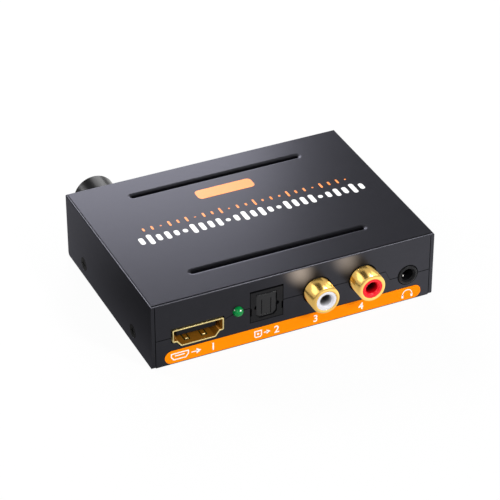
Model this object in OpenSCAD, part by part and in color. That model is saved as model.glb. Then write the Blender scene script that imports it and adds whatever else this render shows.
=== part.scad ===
// Audio extractor box: it takes a digital video signal in at the rear, passes it on at the
// port face, and splits the sound off to an optical port, two phono sockets and a headphone socket.
// Frame: the origin is the middle of the case's footprint, on the plane that the feet rest on.
// The port face looks along -Y, the rear face with the volume knob looks along +Y, and +Z is up.

/* [Case] */
// Width of the case along the port face
case_w = 85; // [84:0.5:110]
// Depth of the case from the port face to the rear face
case_d = 61.6; // [60:0.2:80]
// Air between the top of the phono block and the cover
head_room = 1.7; // [1.4:0.1:8]
// Thickness of the folded steel sheet
sheet_t = 1; // [0.8:0.1:1.2]
// Outer radius of the cover's folded edges
cover_bend_r = 0.6; // [0.3:0.1:0.8]
// Outer radius of the chassis's folded edges
floor_bend_r = 0.5; // [0.3:0.1:0.8]
// Radius of the lower corners of the cover's side walls
wall_corner_r = 1; // [0.5:0.1:2]
// Gap between the cover and the chassis where they meet
seam = 0.2; // [0.1:0.05:0.3]

/* [Cover grooves] */
// From the case's sides to the ends of the pressed grooves
groove_inset = 15.4; // [12:0.2:24]
// Overall width of a groove across its rolled lips
groove_w = 3.1; // [2.4:0.1:4]
// Width of the slot between the lips
groove_slot_w = 1.2; // [0.8:0.1:1.6]
// Depth of a groove below the top face
groove_depth = 1.2; // [0.8:0.1:1.6]
// Radius of the rolled lips
groove_lip_r = 1.6; // [1.4:0.1:3]
// Sheet left beside and under a groove
groove_wall = 0.8; // [0.6:0.1:1]
// From the port face to the centre line of the first groove
groove_front = 10.8; // [8:0.2:16]
// From the rear face to the centre line of the second groove
groove_rear = 9.1; // [7:0.2:16]

/* [Case screws] */
// Radius of the countersunk head
case_screw_head_r = 2.05; // [1.8:0.05:2.4]
// Radius of the threaded shank
case_screw_r = 1; // [0.8:0.05:1.2]
// Overall length of the screw
case_screw_l = 4; // [3:0.1:4.2]
// Height of the screws above the case's underside
case_screw_z = 4.2; // [3.6:0.1:5]
// From the port face to the nearer pair of screws
case_screw_front = 13.4; // [10:0.2:18]
// From the rear face to the nearer pair of screws
case_screw_rear = 12.4; // [10:0.2:18]
// Width of the chassis tabs that take the screws
tab_w = 9; // [7:0.5:12]
// Height of the chassis tabs above the case's underside
tab_h = 7.6; // [7:0.2:9]

/* [Label strips] */
// From the case's sides to the ends of the printed label strips
label_inset = 3.7; // [3:0.1:12]
// Height of the printed label strips
label_h = 4.05; // [3:0.05:4.4]
// Thickness of the printed label strips
label_t = 0.12; // [0.08:0.02:0.2]
// Height of the strips' centre line above the case's underside
label_z = 2.6; // [2.6:0.05:3]

/* [Circuit board] */
// Thickness of the circuit board
board_t = 1.6; // [1:0.1:2]
// From the case's sides to the edges of the board
board_side_gap = 4.5; // [4.5:0.1:5]
// From the inner faces of the case to the edges of the board
board_end_gap = 0.5; // [0.4:0.1:1]
// Height of the standoffs under the board
standoff_h = 3.1; // [2.5:0.1:4]
// Width of the hexagonal standoffs across their flats
standoff_af = 4.4; // [4:0.1:5]
// From the sides of the board to its fixings
fixing_side = 4; // [3.6:0.1:6]
// From the outer faces of the case to the board's fixings
fixing_end = 18.3; // [17.6:0.1:22]
// Radius of the thread of the board screws
board_screw_r = 1.25; // [1:0.05:1.3]
// Radius of the heads of the board screws
board_screw_head_r = 2.2; // [1.9:0.1:2.5]
// Height of the heads of the board screws
board_screw_head_h = 1.4; // [1:0.1:1.8]

/* [Video connectors] */
// Width of the connector shell
video_w = 15; // [14.6:0.1:15.4]
// Height of the connector shell
video_h = 5.6; // [5.4:0.1:6]
// Width of the shell below its side steps
video_step_w = 12.6; // [12.2:0.1:13]
// Width of the flat underside of the shell
video_foot_w = 10.1; // [9.6:0.1:10.6]
// Height of the side steps above the shell's underside
video_step_h = 1.65; // [1.4:0.05:1.9]
// Thickness of the shell
video_t = 0.35; // [0.3:0.05:0.4]
// Length of the shell
video_l = 12; // [11:0.2:13]
// How far the shell stands proud of the case
video_proud = 0.4; // [0.1:0.1:0.8]
// Height of the shell's centre above the board
video_axis = 2.85; // [2.85:0.05:3.2]
// Clearance round the shell in the case
video_clear = 0.3; // [0.2:0.05:0.4]
// Width of the tongue that carries the contacts
tongue_w = 11.4; // [11:0.1:11.8]
// Thickness of the tongue
tongue_t = 1.7; // [1.4:0.1:1.9]
// Height of the tongue's underside below the shell's centre
tongue_drop = 0.25; // [0.1:0.05:0.3]
// From the mouth of the shell to the tip of the tongue
tongue_inset = 1.6; // [1.2:0.1:2.4]
// Place of the outgoing video connector across the case, as a share of its width from the centre
video_out_place_share = -0.3418; // [-0.346:0.0001:-0.33]
// Place of the incoming video connector across the case, as a share of its width from the centre
video_in_place_share = 0.0882; // [0.06:0.0001:0.11]

/* [Status lamp] */
// Radius of the lamp's dome
lamp_r = 1.5; // [1.2:0.1:1.6]
// Radius of the lamp's base flange
lamp_flange_r = 1.9; // [1.8:0.1:2.1]
// Length of the lamp behind the centre of its dome
lamp_l = 3.4; // [3:0.1:4]
// Height of the lamp above the board
lamp_axis = 6.1; // [5.6:0.1:6.4]
// Place of the lamp across the case, as a share of its width from the centre
lamp_place_share = -0.2024; // [-0.207:0.0001:-0.198]

/* [Optical port] */
// Width of the optical housing
optical_w = 9.6; // [9.2:0.1:9.8]
// Height of the housing above the board
optical_h = 10.6; // [10.2:0.1:11]
// Length of the housing behind the face
optical_l = 13.5; // [13.2:0.1:14]
// Height of the nose's underside above the board
optical_nose_z = 1.2; // [1.1:0.05:1.4]
// Clearance of the nose in the case at its sides and underside
optical_clear = 0.2; // [0.15:0.05:0.25]
// Clearance of the nose in the case at its top
optical_top_clear = 0.6; // [0.3:0.1:0.8]
// Width of the plug cavity
cavity_w = 6.1; // [5.9:0.1:6.3]
// Height of the cavity's floor above the board
cavity_z = 2; // [1.8:0.1:2.2]
// Height of the cavity
cavity_h = 7.7; // [7.4:0.1:7.8]
// Depth of the cavity
cavity_l = 8.8; // [8.4:0.1:9]
// Size of the slanted lower corners of the cavity
cavity_corner = 1; // [0.8:0.1:1.2]
// Thickness of the shutter flap
shutter_t = 0.8; // [0.7:0.05:0.9]
// How far the flap lies behind the face of the housing
shutter_inset = 0.35; // [0.3:0.05:0.4]
// Clearance round the flap
shutter_clear = 0.12; // [0.1:0.01:0.16]
// Radius of the flap's hinge pin
shutter_pin_r = 0.2; // [0.18:0.01:0.24]
// Place of the optical port across the case, as a share of its width from the centre
optical_place_share = -0.102; // [-0.106:0.0001:-0.099]

/* [Phono sockets] */
// Radius of the outer contact collars
collar_r = 4.05; // [3.95:0.05:4.15]
// Bore radius of the collars
collar_bore_r = 3; // [2.9:0.05:3.05]
// How far the collars stand out of the case
collar_l = 6; // [5:0.2:9]
// Radius of the rounded front edge of the collars
collar_lip_r = 0.8; // [0.6:0.05:0.9]
// Radial clearance of the collars in the case
collar_clear = 0.35; // [0.3:0.05:0.4]
// Radius of the hole for the plug's pin
phono_hole_r = 1.75; // [1.7:0.05:1.8]
// Distance between the two sockets
phono_pitch = 14; // [13:0.5:16]
// Height of the sockets above the board
phono_axis = 6.05; // [5.9:0.05:6.3]
// Place of the middle of the pair across the case, as a share of its width from the centre
phono_place_share = 0.1594; // [0.153:0.0001:0.167]

/* [Headphone socket] */
// Radius of the socket's nose
jack_nose_r = 3; // [2.9:0.05:3.1]
// Bore radius of the socket
jack_bore_r = 1.8; // [1.75:0.05:1.85]
// How far the nose stands proud of the case
jack_proud = 0.35; // [0.2:0.05:0.6]
// Clearance round the nose in the case
jack_clear = 0.2; // [0.15:0.05:0.3]
// Width of the socket's body
jack_w = 6.5; // [6.2:0.1:6.8]
// Height of the socket's body
jack_h = 6; // [5.8:0.1:6.2]
// Length of the socket's body behind the case
jack_l = 12.5; // [11:0.5:13.5]
// Height of the bore above the board
jack_axis = 3.04; // [3:0.02:3.1]
// Place of the headphone socket across the case, as a share of its width from the centre
jack_place_share = 0.4071; // [0.403:0.0001:0.408]

/* [Power inlet] */
// Width of the inlet's body
inlet_w = 9; // [8.6:0.1:9.4]
// Height of the inlet's body
inlet_h = 11; // [10.6:0.1:11.4]
// Length of the inlet's body behind the case
inlet_l = 13; // [12:0.5:13.5]
// Radius of the inlet's nose
inlet_nose_r = 3.75; // [3.6:0.05:3.9]
// Radius of the hole for the plug
inlet_hole_r = 3.15; // [3:0.05:3.2]
// Radius of the centre pin
inlet_pin_r = 1.05; // [1:0.05:1.1]
// How far the nose stands proud of the case
inlet_proud = 0.3; // [0.2:0.1:0.6]
// Height of the pin above the board
inlet_axis = 6.5; // [6.3:0.1:6.6]
// Place of the inlet across the case, as a share of its width from the centre
inlet_place_share = 0.3294; // [0.306:0.0001:0.341]

/* [Mode switch] */
// Width of the switch's metal frame
switch_w = 12.8; // [12.4:0.2:14]
// Height of the switch's metal frame
switch_h = 5.6; // [5.4:0.1:6]
// Length of the switch's metal frame
switch_l = 4.8; // [4.6:0.1:6]
// Thickness of the frame's metal
switch_t = 0.3; // [0.25:0.05:0.35]
// Width of the lever's handle
lever_w = 2.2; // [1.8:0.1:2.4]
// Height of the lever's handle
lever_h = 1.8; // [1.4:0.1:2]
// How far the handle stands out of the case
lever_proud = 2.4; // [1.5:0.1:4]
// Travel of the lever to each side of its middle place
lever_travel = 2; // [1.5:0.1:2]
// Running clearance of the lever
lever_clear = 0.25; // [0.2:0.05:0.3]
// Height of the lever above the board
switch_axis = 2.8; // [2.8:0.05:3]
// Place of the switch across the case, as a share of its width from the centre
switch_place_share = -0.1235; // [-0.14:0.0001:-0.106]

/* [Volume control] */
// Radius of the knob
knob_r = 6.25; // [6:0.05:7]
// Length of the knob
knob_l = 10.6; // [9:0.2:14]
// Gap between the knob and the case
knob_gap = 0.8; // [0.6:0.1:1.2]
// Bevel round the outer end of the knob
knob_bevel = 0.5; // [0.3:0.1:0.8]
// Thickness of the knob's skirt round the nut
knob_skirt_t = 0.75; // [0.6:0.05:0.8]
// Radius of the control's shaft
shaft_r = 3; // [2.8:0.05:3.05]
// Radial running clearance of the shaft in its bushing
shaft_clear = 0.05; // [0.03:0.01:0.08]
// Radius of the threaded bushing
bushing_r = 3.5; // [3.45:0.05:3.6]
// Length of the bushing outside the case
bushing_out = 3.4; // [2.8:0.1:3.6]
// Width of the panel nut across its flats
nut_af = 9; // [8.6:0.1:9.2]
// Thickness of the panel nut
nut_t = 1.8; // [1.4:0.1:2.2]
// Thickness of the washer under the nut
washer_t = 0.4; // [0.3:0.1:0.6]
// Width of the control's case
pot_w = 9.8; // [9.4:0.1:10.2]
// Height of the control's case
pot_h = 10; // [9.8:0.1:10.4]
// Length of the control's case behind its front plate
pot_l = 5.6; // [5.2:0.1:7]
// Thickness of the front plate that carries the bushing
pot_plate_t = 1; // [0.8:0.1:1.2]
// Height of the shaft above the board
pot_axis = 5; // [4.9:0.05:5.2]
// Place of the volume control across the case, as a share of its width from the centre
pot_place_share = -0.3506; // [-0.36:0.0001:-0.341]

/* [Board parts] */
// Side of the square extractor chip
chip_w = 10; // [8:0.5:12]
// Height of the chip packages
chip_h = 1; // [0.8:0.1:1.6]
// Side of the square heat sink
sink_w = 12; // [10:0.5:14]
// Height of the heat sink
sink_h = 4.6; // [3:0.2:5]
// Radius of the electrolytic capacitors
can_r = 2.5; // [2:0.25:3]
// Height of the electrolytic capacitors
can_h = 4.6; // [4:0.2:5]
// Side of the square power inductors
coil_w = 5; // [4:0.5:6]
// Height of the power inductors
coil_h = 3; // [2:0.2:4]
// Length of the ceramic capacitors and resistors
speck_l = 1.6; // [1:0.1:2]

/* [Hidden] */
$fn = 64;

// Overrun of every cut past the face that it goes through
over = 0.5;
// Clearance between pieces that are fixed to each other
fit = 0.05;
// Thickness of formed contact strip
strip_t = 0.25;
// Radius of a drilled hole in the board for a lead, and half the width of that lead
lead_r = 0.3;

sheet_colour = "#3b3a3f";
orange = "#ff8a00";
gold = "#d8b35c";
nickel = "#b9b9bd";
black_plastic = "#232325";

inner_w = case_w - 2 * sheet_t;
board_z = sheet_t + standoff_h;
board_top = board_z + board_t;
case_h = board_top + 2 * phono_axis + head_room + sheet_t;
board_w = case_w - 2 * board_side_gap;
board_d = case_d - 2 * (sheet_t + board_end_gap);
fixing_x = board_w / 2 - fixing_side;
fixing_y = case_d / 2 - fixing_end;
groove_l = case_w - 2 * groove_inset;
label_w = case_w - 2 * label_inset;
video_out_x = video_out_place_share * case_w;
video_in_x = video_in_place_share * case_w;
lamp_x = lamp_place_share * case_w;
optical_x = optical_place_share * case_w;
phono_x = phono_place_share * case_w;
jack_x = jack_place_share * case_w;
inlet_x = inlet_place_share * case_w;
switch_x = switch_place_share * case_w;
pot_x = pot_place_share * case_w;
lip_run = (groove_w - groove_slot_w) / 2;
lip_depth = groove_lip_r - sqrt(groove_lip_r * groove_lip_r - lip_run * lip_run);

// Where the seam across each face climbs and drops between the ports, as [x, z]
seam_rise_share = 0.27;
seam_slope_w = 1.4;
seam_drop = 5.6;
face_seam = [
    [video_out_x + video_w * seam_rise_share, board_top + video_axis + video_t],
    [lamp_x, board_top + phono_axis],
    [jack_x - seam_drop - seam_slope_w, board_top + phono_axis],
    [jack_x - seam_drop, board_top + jack_axis]
];
rear_seam = [
    [pot_x + knob_r + seam_slope_w, board_top + pot_axis],
    [pot_x + knob_r + 2 * seam_slope_w, board_top + switch_axis],
    [inlet_x - inlet_w / 2 - 2 * seam_slope_w, board_top + switch_axis],
    [inlet_x - inlet_w / 2 - seam_slope_w, board_top + inlet_axis]
];

// Points of an outline, moved outwards by a distance: the outline runs anticlockwise
function unit(v) = v / norm(v);
function outward(a, b) = let(e = unit(b - a)) [e[1], -e[0]];
function grown(points, by) = let(n = len(points)) [
    for (i = [0:n - 1])
        let(p = points[i], u = outward(points[(i + n - 1) % n], p), v = outward(p, points[(i + 1) % n]))
            p + by * (u + v) / (1 + u * v)
];

// Points of an outline with each corner turned into an arc
function turned(v, a) = [v[0] * cos(a) - v[1] * sin(a), v[0] * sin(a) + v[1] * cos(a)];
function corner_arc(p, a, b, r, steps) =
    let(half = acos(a * b) / 2, middle = p + unit(a + b) * r / sin(half),
        from = p + a * r / tan(half) - middle, to = p + b * r / tan(half) - middle,
        sweep = atan2(from[0] * to[1] - from[1] * to[0], from * to))
            [for (k = [0:steps]) middle + turned(from, sweep * k / steps)];
function rounded(points, r, steps = 4) = let(n = len(points)) [
    for (i = [0:n - 1])
        for (q = corner_arc(points[i], unit(points[(i + n - 1) % n] - points[i]),
                unit(points[(i + 1) % n] - points[i]), r, steps))
            q
];
function box_outline(w, z0, z1) = [[w / 2, z1], [-w / 2, z1], [-w / 2, z0], [w / 2, z0]];

function video_outline() = [
    [video_w / 2, video_h / 2], [-video_w / 2, video_h / 2],
    [-video_w / 2, video_step_h - video_h / 2], [-video_step_w / 2, video_step_h - video_h / 2],
    [-video_foot_w / 2, -video_h / 2], [video_foot_w / 2, -video_h / 2],
    [video_step_w / 2, video_step_h - video_h / 2], [video_w / 2, video_step_h - video_h / 2]
];
function cavity_outline() = [
    [cavity_w / 2, cavity_z + cavity_h], [-cavity_w / 2, cavity_z + cavity_h],
    [-cavity_w / 2, cavity_z + cavity_corner], [cavity_corner - cavity_w / 2, cavity_z],
    [cavity_w / 2 - cavity_corner, cavity_z], [cavity_w / 2, cavity_z + cavity_corner]
];

// The seam's height along a face, from one side to the other, lifted by a distance
function seam_line(steps, half_w, lift) = concat(
    [[-half_w, steps[0][1] + lift]],
    [for (p = steps) [p[0], p[1] + lift]],
    [[half_w, steps[len(steps) - 1][1] + lift]]
);

// Frames of the ports: x along the face, y into the case from its outer face, z up from the board
module at_face(x) {
    translate([x, -case_d / 2, board_top]) children();
}
module at_rear(x) {
    rotate([0, 0, 180]) translate([-x, -case_d / 2, board_top]) children();
}

// A flat shape drawn as [x, z], from y0 to y1
module into(y0, y1) {
    translate([0, y1, 0]) rotate([90, 0, 0]) linear_extrude(y1 - y0) children();
}
// A flat shape drawn as [y, z], from x0 to x1
module across(x0, x1) {
    translate([x0, 0, 0]) rotate([90, 0, 90]) linear_extrude(x1 - x0) children();
}
// A shape drawn as [radius, distance outwards], turned about a line at height z
module turned_out(z) {
    translate([0, 0, z]) rotate([90, 0, 0]) rotate_extrude() children();
}
module rod(z, y0, y1, r) {
    translate([0, y1, z]) rotate([90, 0, 0]) cylinder(h = y1 - y0, r = r);
}
module block(x0, x1, y0, y1, z0, z1) {
    translate([x0, y0, z0]) cube([x1 - x0, y1 - y0, z1 - z0]);
}
module centred_block(w, y0, y1, z0, z1) {
    block(-w / 2, w / 2, y0, y1, z0, z1);
}
module corner_cut(r, turn) {
    rotate([0, 0, turn]) difference() {
        square(r + over);
        circle(r = r);
    }
}
module cross_recess(r) {
    depth = r / 2;
    for (turn = [0, 90])
        rotate([0, 0, turn]) translate([-r * 0.6, -r / 10, -depth]) cube([r * 1.2, r / 5, depth + over]);
}

// Outline of the folded cover seen from one side, with its lower corners on the ground line
module case_outline(w, top_r, low_r) {
    difference() {
        translate([-w / 2, 0]) square([w, case_h]);
        translate([w / 2 - top_r, case_h - top_r]) corner_cut(top_r, 0);
        translate([top_r - w / 2, case_h - top_r]) corner_cut(top_r, 90);
        if (low_r > 0) {
            translate([low_r - w / 2, low_r]) corner_cut(low_r, 180);
            translate([w / 2 - low_r, low_r]) corner_cut(low_r, 270);
        }
    }
}

// Openings in the port face and the rear face, cut through the cover and the chassis alike
module wall_cut() {
    into(-over, sheet_t + over) children();
}
module face_openings() {
    at_face(video_out_x) wall_cut() translate([0, video_axis])
        polygon(rounded(grown(video_outline(), video_clear), video_t));
    at_face(lamp_x) wall_cut() translate([0, lamp_axis]) circle(r = lamp_r + 2 * fit);
    at_face(optical_x) wall_cut() polygon(box_outline(optical_w + 2 * optical_clear,
        optical_nose_z - optical_clear, optical_h + optical_top_clear));
    for (side = [-1, 1])
        at_face(phono_x + side * phono_pitch / 2) wall_cut() translate([0, phono_axis])
            circle(r = collar_r + collar_clear);
    at_face(jack_x) wall_cut() translate([0, jack_axis]) circle(r = jack_nose_r + jack_clear);
}
module rear_openings() {
    at_rear(video_in_x) wall_cut() translate([0, video_axis])
        polygon(rounded(grown(video_outline(), video_clear), video_t));
    at_rear(inlet_x) wall_cut() translate([0, inlet_axis]) circle(r = inlet_nose_r + jack_clear);
    at_rear(switch_x) wall_cut() translate([0, switch_axis]) polygon(box_outline(
        lever_w + 2 * (lever_travel + lever_clear), -lever_h / 2 - lever_clear, lever_h / 2 + lever_clear));
    at_rear(pot_x) wall_cut() translate([0, pot_axis]) circle(r = bushing_r + 2 * fit);
}

// Half of a groove's section, drawn as [distance from its centre line, height above the top face]
module groove_half() {
    square_w = groove_slot_w / 2;
    translate([0, -groove_depth]) square([square_w, groove_depth + over]);
    translate([0, -lip_depth]) difference() {
        square([groove_w / 2, lip_depth + over]);
        translate([groove_w / 2, lip_depth - groove_lip_r]) circle(r = groove_lip_r);
    }
}
module groove_cut(y) {
    run = groove_l - groove_w;
    translate([0, y, case_h]) {
        across(-run / 2, run / 2) {
            groove_half();
            mirror([1, 0]) groove_half();
        }
        for (side = [-1, 1])
            translate([side * run / 2, 0, 0]) rotate_extrude() groove_half();
    }
}
module groove_bead(y) {
    run = groove_l - groove_w;
    bead_w = groove_slot_w + 2 * groove_wall;
    translate([0, y, case_h - groove_depth - groove_wall])
        linear_extrude(groove_depth + groove_wall - sheet_t / 2) {
            square([run, bead_w], center = true);
            for (side = [-1, 1])
                translate([side * run / 2, 0]) circle(r = bead_w / 2);
        }
}
groove_ys = [groove_front - case_d / 2, case_d / 2 - groove_rear];

// Places of the four case screws: each runs along X, with its head outwards
screw_ys = [case_screw_front - case_d / 2, case_d / 2 - case_screw_rear];
module at_case_screws() {
    for (y = screw_ys)
        for (side = [0, 180])
            rotate([0, 0, side]) translate([case_w / 2, side == 0 ? y : -y, case_screw_z])
                rotate([0, 90, 0]) children();
}
module countersink(gap) {
    translate([0, 0, -sheet_t - over]) cylinder(h = sheet_t + over, r = case_screw_r + 2 * gap);
    translate([0, 0, -(case_screw_head_r - case_screw_r)])
        cylinder(h = case_screw_head_r - case_screw_r, r1 = case_screw_r + gap, r2 = case_screw_head_r + gap);
    cylinder(h = over, r = case_screw_head_r + gap);
}

module top_cover() {
    color(sheet_colour) difference() {
        union() {
            difference() {
                intersection() {
                    into(-case_d / 2, case_d / 2) case_outline(case_w, cover_bend_r, 0);
                    across(-case_w / 2, case_w / 2) case_outline(case_d, cover_bend_r, wall_corner_r);
                }
                centred_block(inner_w, sheet_t - case_d / 2, case_d / 2 - sheet_t, -over, case_h - sheet_t);
            }
            for (y = groove_ys)
                groove_bead(y);
            jack_rim();
        }
        translate([0, -case_d / 2, 0]) wall_cut() polygon(concat(
            seam_line(face_seam, inner_w / 2, seam / 2), [[inner_w / 2, -over], [-inner_w / 2, -over]]));
        translate([0, case_d / 2 - sheet_t, 0]) wall_cut() polygon(concat(
            seam_line(rear_seam, inner_w / 2, seam / 2), [[inner_w / 2, -over], [-inner_w / 2, -over]]));
        for (side = [-1, 1])
            translate([side * (inner_w - seam) / 2, 0, 0])
                for (y = [-case_d / 2, case_d / 2 - sheet_t])
                    translate([0, y, 0]) wall_cut() polygon(box_outline(seam, -over, case_h - cover_bend_r));
        face_openings();
        rear_openings();
        for (y = groove_ys)
            groove_cut(y);
        at_case_screws() countersink(fit);
    }
}

// The chassis's part of the port face, and the rim pressed inwards round the headphone socket's hole
module chassis_face(half_w, depth) {
    translate([0, -case_d / 2, 0]) into(0, depth) polygon(concat(
        seam_line(face_seam, half_w, -seam / 2), [[half_w, 0], [-half_w, 0]]));
}
module jack_rim() {
    rim_r = jack_nose_r + jack_clear + sheet_t / 2;
    at_face(jack_x) rod(jack_axis, sheet_t / 2, sheet_t + jack_clear - fit, rim_r);
}
module bottom_chassis() {
    half_w = inner_w / 2 - seam;
    color(sheet_colour) difference() {
        union() {
            centred_block(2 * half_w, -case_d / 2, case_d / 2, 0, sheet_t);
            chassis_face(half_w, sheet_t);
            intersection() {
                chassis_face(half_w, sheet_t + jack_clear);
                jack_rim();
            }
            translate([0, case_d / 2 - sheet_t, 0]) into(0, sheet_t) polygon(concat(
                seam_line(rear_seam, half_w, -seam / 2), [[half_w, 0], [-half_w, 0]]));
            for (y = screw_ys)
                for (side = [0, 1])
                    mirror([side, 0, 0]) translate([0, y, 0])
                        block(half_w - sheet_t, half_w, -tab_w / 2, tab_w / 2, 0, tab_h);
            at_case_screws() translate([0, 0, -3 * sheet_t - seam])
                cylinder(h = sheet_t + seam, r = case_screw_r + groove_wall);
        }
        for (side = [0, 1])
            mirror([0, side, 0]) translate([0, floor_bend_r - case_d / 2, floor_bend_r])
                across(-case_w / 2, case_w / 2) corner_cut(floor_bend_r, 180);
        face_openings();
        rear_openings();
        at_case_screws() translate([0, 0, -case_screw_l - over])
            cylinder(h = case_screw_l, r = case_screw_r + fit);
        at_fixings() translate([0, 0, -over])
            cylinder(h = sheet_t + 2 * over, r = board_screw_r + 2 * strip_t);
    }
}

module case_screws() {
    color("#1c1c1e") at_case_screws() difference() {
        union() {
            translate([0, 0, -(case_screw_head_r - case_screw_r)])
                cylinder(h = case_screw_head_r - case_screw_r, r1 = case_screw_r, r2 = case_screw_head_r);
            translate([0, 0, -case_screw_l]) cylinder(h = case_screw_l, r = case_screw_r);
        }
        cross_recess(case_screw_head_r);
    }
}

// A stadium-shaped strip stuck on the lower half of a face
module label_strip() {
    color(orange) translate([0, 0, label_z]) into(-label_t, 0) {
        square([label_w - label_h, label_h], center = true);
        for (side = [-1, 1])
            translate([side * (label_w - label_h) / 2, 0]) circle(r = label_h / 2);
    }
}
module port_label() {
    translate([0, -case_d / 2, 0]) label_strip();
}
module rear_label() {
    rotate([0, 0, 180]) translate([0, -case_d / 2, 0]) label_strip();
}

// Places of the four fixings of the board
module at_fixings() {
    for (sx = [-1, 1])
        for (sy = [-1, 1])
            translate([sx * fixing_x, sy * fixing_y, 0]) children();
}
module insulating_sheet() {
    color("#d9d2a8") difference() {
        centred_block(board_w, -board_d / 2, board_d / 2, sheet_t, sheet_t + strip_t);
        at_fixings()
            cylinder(h = sheet_t + 2 * strip_t + over, r = standoff_af * 0.65);
    }
}
module board_standoffs() {
    color("#c9a94e") at_fixings() difference() {
        union() {
            translate([0, 0, sheet_t]) cylinder(h = standoff_h, r = standoff_af / sqrt(3), $fn = 6);
            cylinder(h = sheet_t + fit, r = board_screw_r + 2 * strip_t - fit);
        }
        translate([0, 0, sheet_t]) cylinder(h = standoff_h + over, r = board_screw_r + fit);
    }
}
module board_screws() {
    color(nickel) at_fixings() translate([0, 0, board_top]) difference() {
        union() {
            cylinder(h = board_screw_head_h, r1 = board_screw_head_r, r2 = board_screw_head_r * 0.8);
            translate([0, 0, -board_t - standoff_h / 2])
                cylinder(h = board_t + standoff_h / 2 + fit, r = board_screw_r);
        }
        translate([0, 0, board_screw_head_h]) cross_recess(board_screw_head_r);
    }
}

module main_board() {
    corner = board_screw_head_r / 2;
    color("#1f6b3a") difference() {
        translate([0, 0, board_z]) linear_extrude(board_t)
            polygon(rounded(box_outline(board_w, -board_d / 2, board_d / 2), corner));
        at_fixings() translate([0, 0, board_z - over])
            cylinder(h = board_t + 2 * over, r = board_screw_r + 2 * fit);
        at_face(lamp_x) lamp_pins() lead_hole();
        for (side = [-1, 1])
            at_face(phono_x + side * phono_pitch / 2) phono_pin() lead_hole();
        at_rear(inlet_x) inlet_pins() lead_hole();
        at_rear(pot_x) pot_pins() lead_hole();
    }
}
// A plated hole in the board, and the square lead that stands in it
module lead_hole() {
    translate([0, 0, -board_t - over]) cylinder(h = board_t + 2 * over, r = lead_r * 1.5 + fit);
}
module lead_post(top) {
    translate([-lead_r, -lead_r, -board_t]) cube([2 * lead_r, 2 * lead_r, board_t + top]);
}

// Video connector, the same at both faces
finger_x = video_foot_w / 4;
finger_w = 3 * video_t;
finger_gap = 1.2 * video_t;
finger_l = 10 * video_t;
video_back = video_l - video_proud;
video_block_y = video_back - video_l / 4;
module finger_slots(z0, z1) {
    y0 = tongue_inset - video_proud;
    outer = finger_w + 2 * finger_gap;
    for (side = [-1, 1])
        translate([side * finger_x, 0, 0]) {
            centred_block(outer, y0, y0 + finger_gap, z0, z1);
            block(-outer / 2, -finger_w / 2, y0, y0 + finger_l, z0, z1);
            block(finger_w / 2, outer / 2, y0, y0 + finger_l, z0, z1);
        }
}
module finger_bumps(z) {
    for (side = [-1, 1])
        translate([side * finger_x - finger_w / 2, tongue_inset - video_proud + finger_gap + video_t, z])
            rotate([0, 90, 0]) cylinder(h = finger_w, r = video_t * 0.8);
}
module video_shell() {
    inner = grown(video_outline(), -video_t);
    color(gold) translate([0, 0, video_axis]) {
        difference() {
            into(-video_proud, video_back) polygon(rounded(video_outline(), video_t + fit));
            into(-video_proud - over, video_back + over) polygon(rounded(inner, video_t / 2));
            finger_slots(-video_h / 2 - over, -video_h / 2 + video_t + over);
            finger_slots(video_h / 2 - video_t - over, video_h / 2 + over);
        }
        finger_bumps(-video_h / 2 + video_t * 0.8);
        finger_bumps(video_h / 2 - video_t * 0.8);
        for (side = [-1, 1])
            for (y = [sheet_t + board_end_gap + video_t, video_block_y])
                block(side * video_w / 2 - video_t, side * video_w / 2 + video_t, y, y + 3 * video_t,
                    -video_axis, video_step_h - video_h / 2 + 2 * video_t);
    }
}
module video_tongue() {
    z0 = -tongue_drop;
    color(black_plastic) translate([0, 0, video_axis]) {
        into(video_block_y, video_back) polygon(grown(video_outline(), -video_t - 2 * fit));
        centred_block(tongue_w, tongue_inset - video_proud, video_block_y + fit, z0, z0 + tongue_t);
    }
}
module video_contacts() {
    pitch = tongue_w / 11;
    pin_w = pitch / 3;
    y0 = tongue_inset - video_proud + 2 * strip_t;
    color(gold) {
        translate([0, 0, video_axis]) {
            for (i = [0:8])
                translate([(i - 4) * pitch, 0, 0])
                    centred_block(pin_w, y0, video_block_y, -tongue_drop - strip_t / 2, -tongue_drop);
            for (i = [0:9])
                translate([(i - 4.5) * pitch, 0, 0]) centred_block(pin_w, y0, video_block_y,
                    tongue_t - tongue_drop, tongue_t - tongue_drop + strip_t / 2);
        }
        for (i = [0:18])
            translate([(i - 9) * pitch / 2, 0, 0]) {
                centred_block(pin_w * 0.6, video_back, video_back + strip_t, 0, video_axis / 2);
                centred_block(pin_w * 0.6, video_back, video_back + 4 * strip_t, 0, strip_t);
            }
    }
}
module video_out_shell() {
    at_face(video_out_x) video_shell();
}
module video_out_tongue() {
    at_face(video_out_x) video_tongue();
}
module video_out_contacts() {
    at_face(video_out_x) video_contacts();
}
module video_in_shell() {
    at_rear(video_in_x) video_shell();
}
module video_in_tongue() {
    at_rear(video_in_x) video_tongue();
}
module video_in_contacts() {
    at_rear(video_in_x) video_contacts();
}

// Status lamp and its two bent leads
lead_spread = 0.85 * lamp_r;
module lamp_pins() {
    for (side = [-1, 1])
        translate([side * lead_spread, lamp_l + 4 * lead_r, 0]) children();
}
module status_lamp() {
    color("#22b765") at_face(lamp_x) {
        translate([0, 0, lamp_axis]) sphere(r = lamp_r);
        rod(lamp_axis, 0, lamp_l, lamp_r);
        rod(lamp_axis, lamp_l - lamp_r / 2, lamp_l, lamp_flange_r);
    }
}
module lamp_leads() {
    color(nickel) at_face(lamp_x) {
        lamp_pins() lead_post(lamp_axis + lead_r);
        for (side = [-1, 1])
            translate([side * lead_spread, 0, 0])
                centred_block(2 * lead_r, lamp_l, lamp_l + 4 * lead_r,
                    lamp_axis - lead_r, lamp_axis + lead_r);
    }
}

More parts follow.
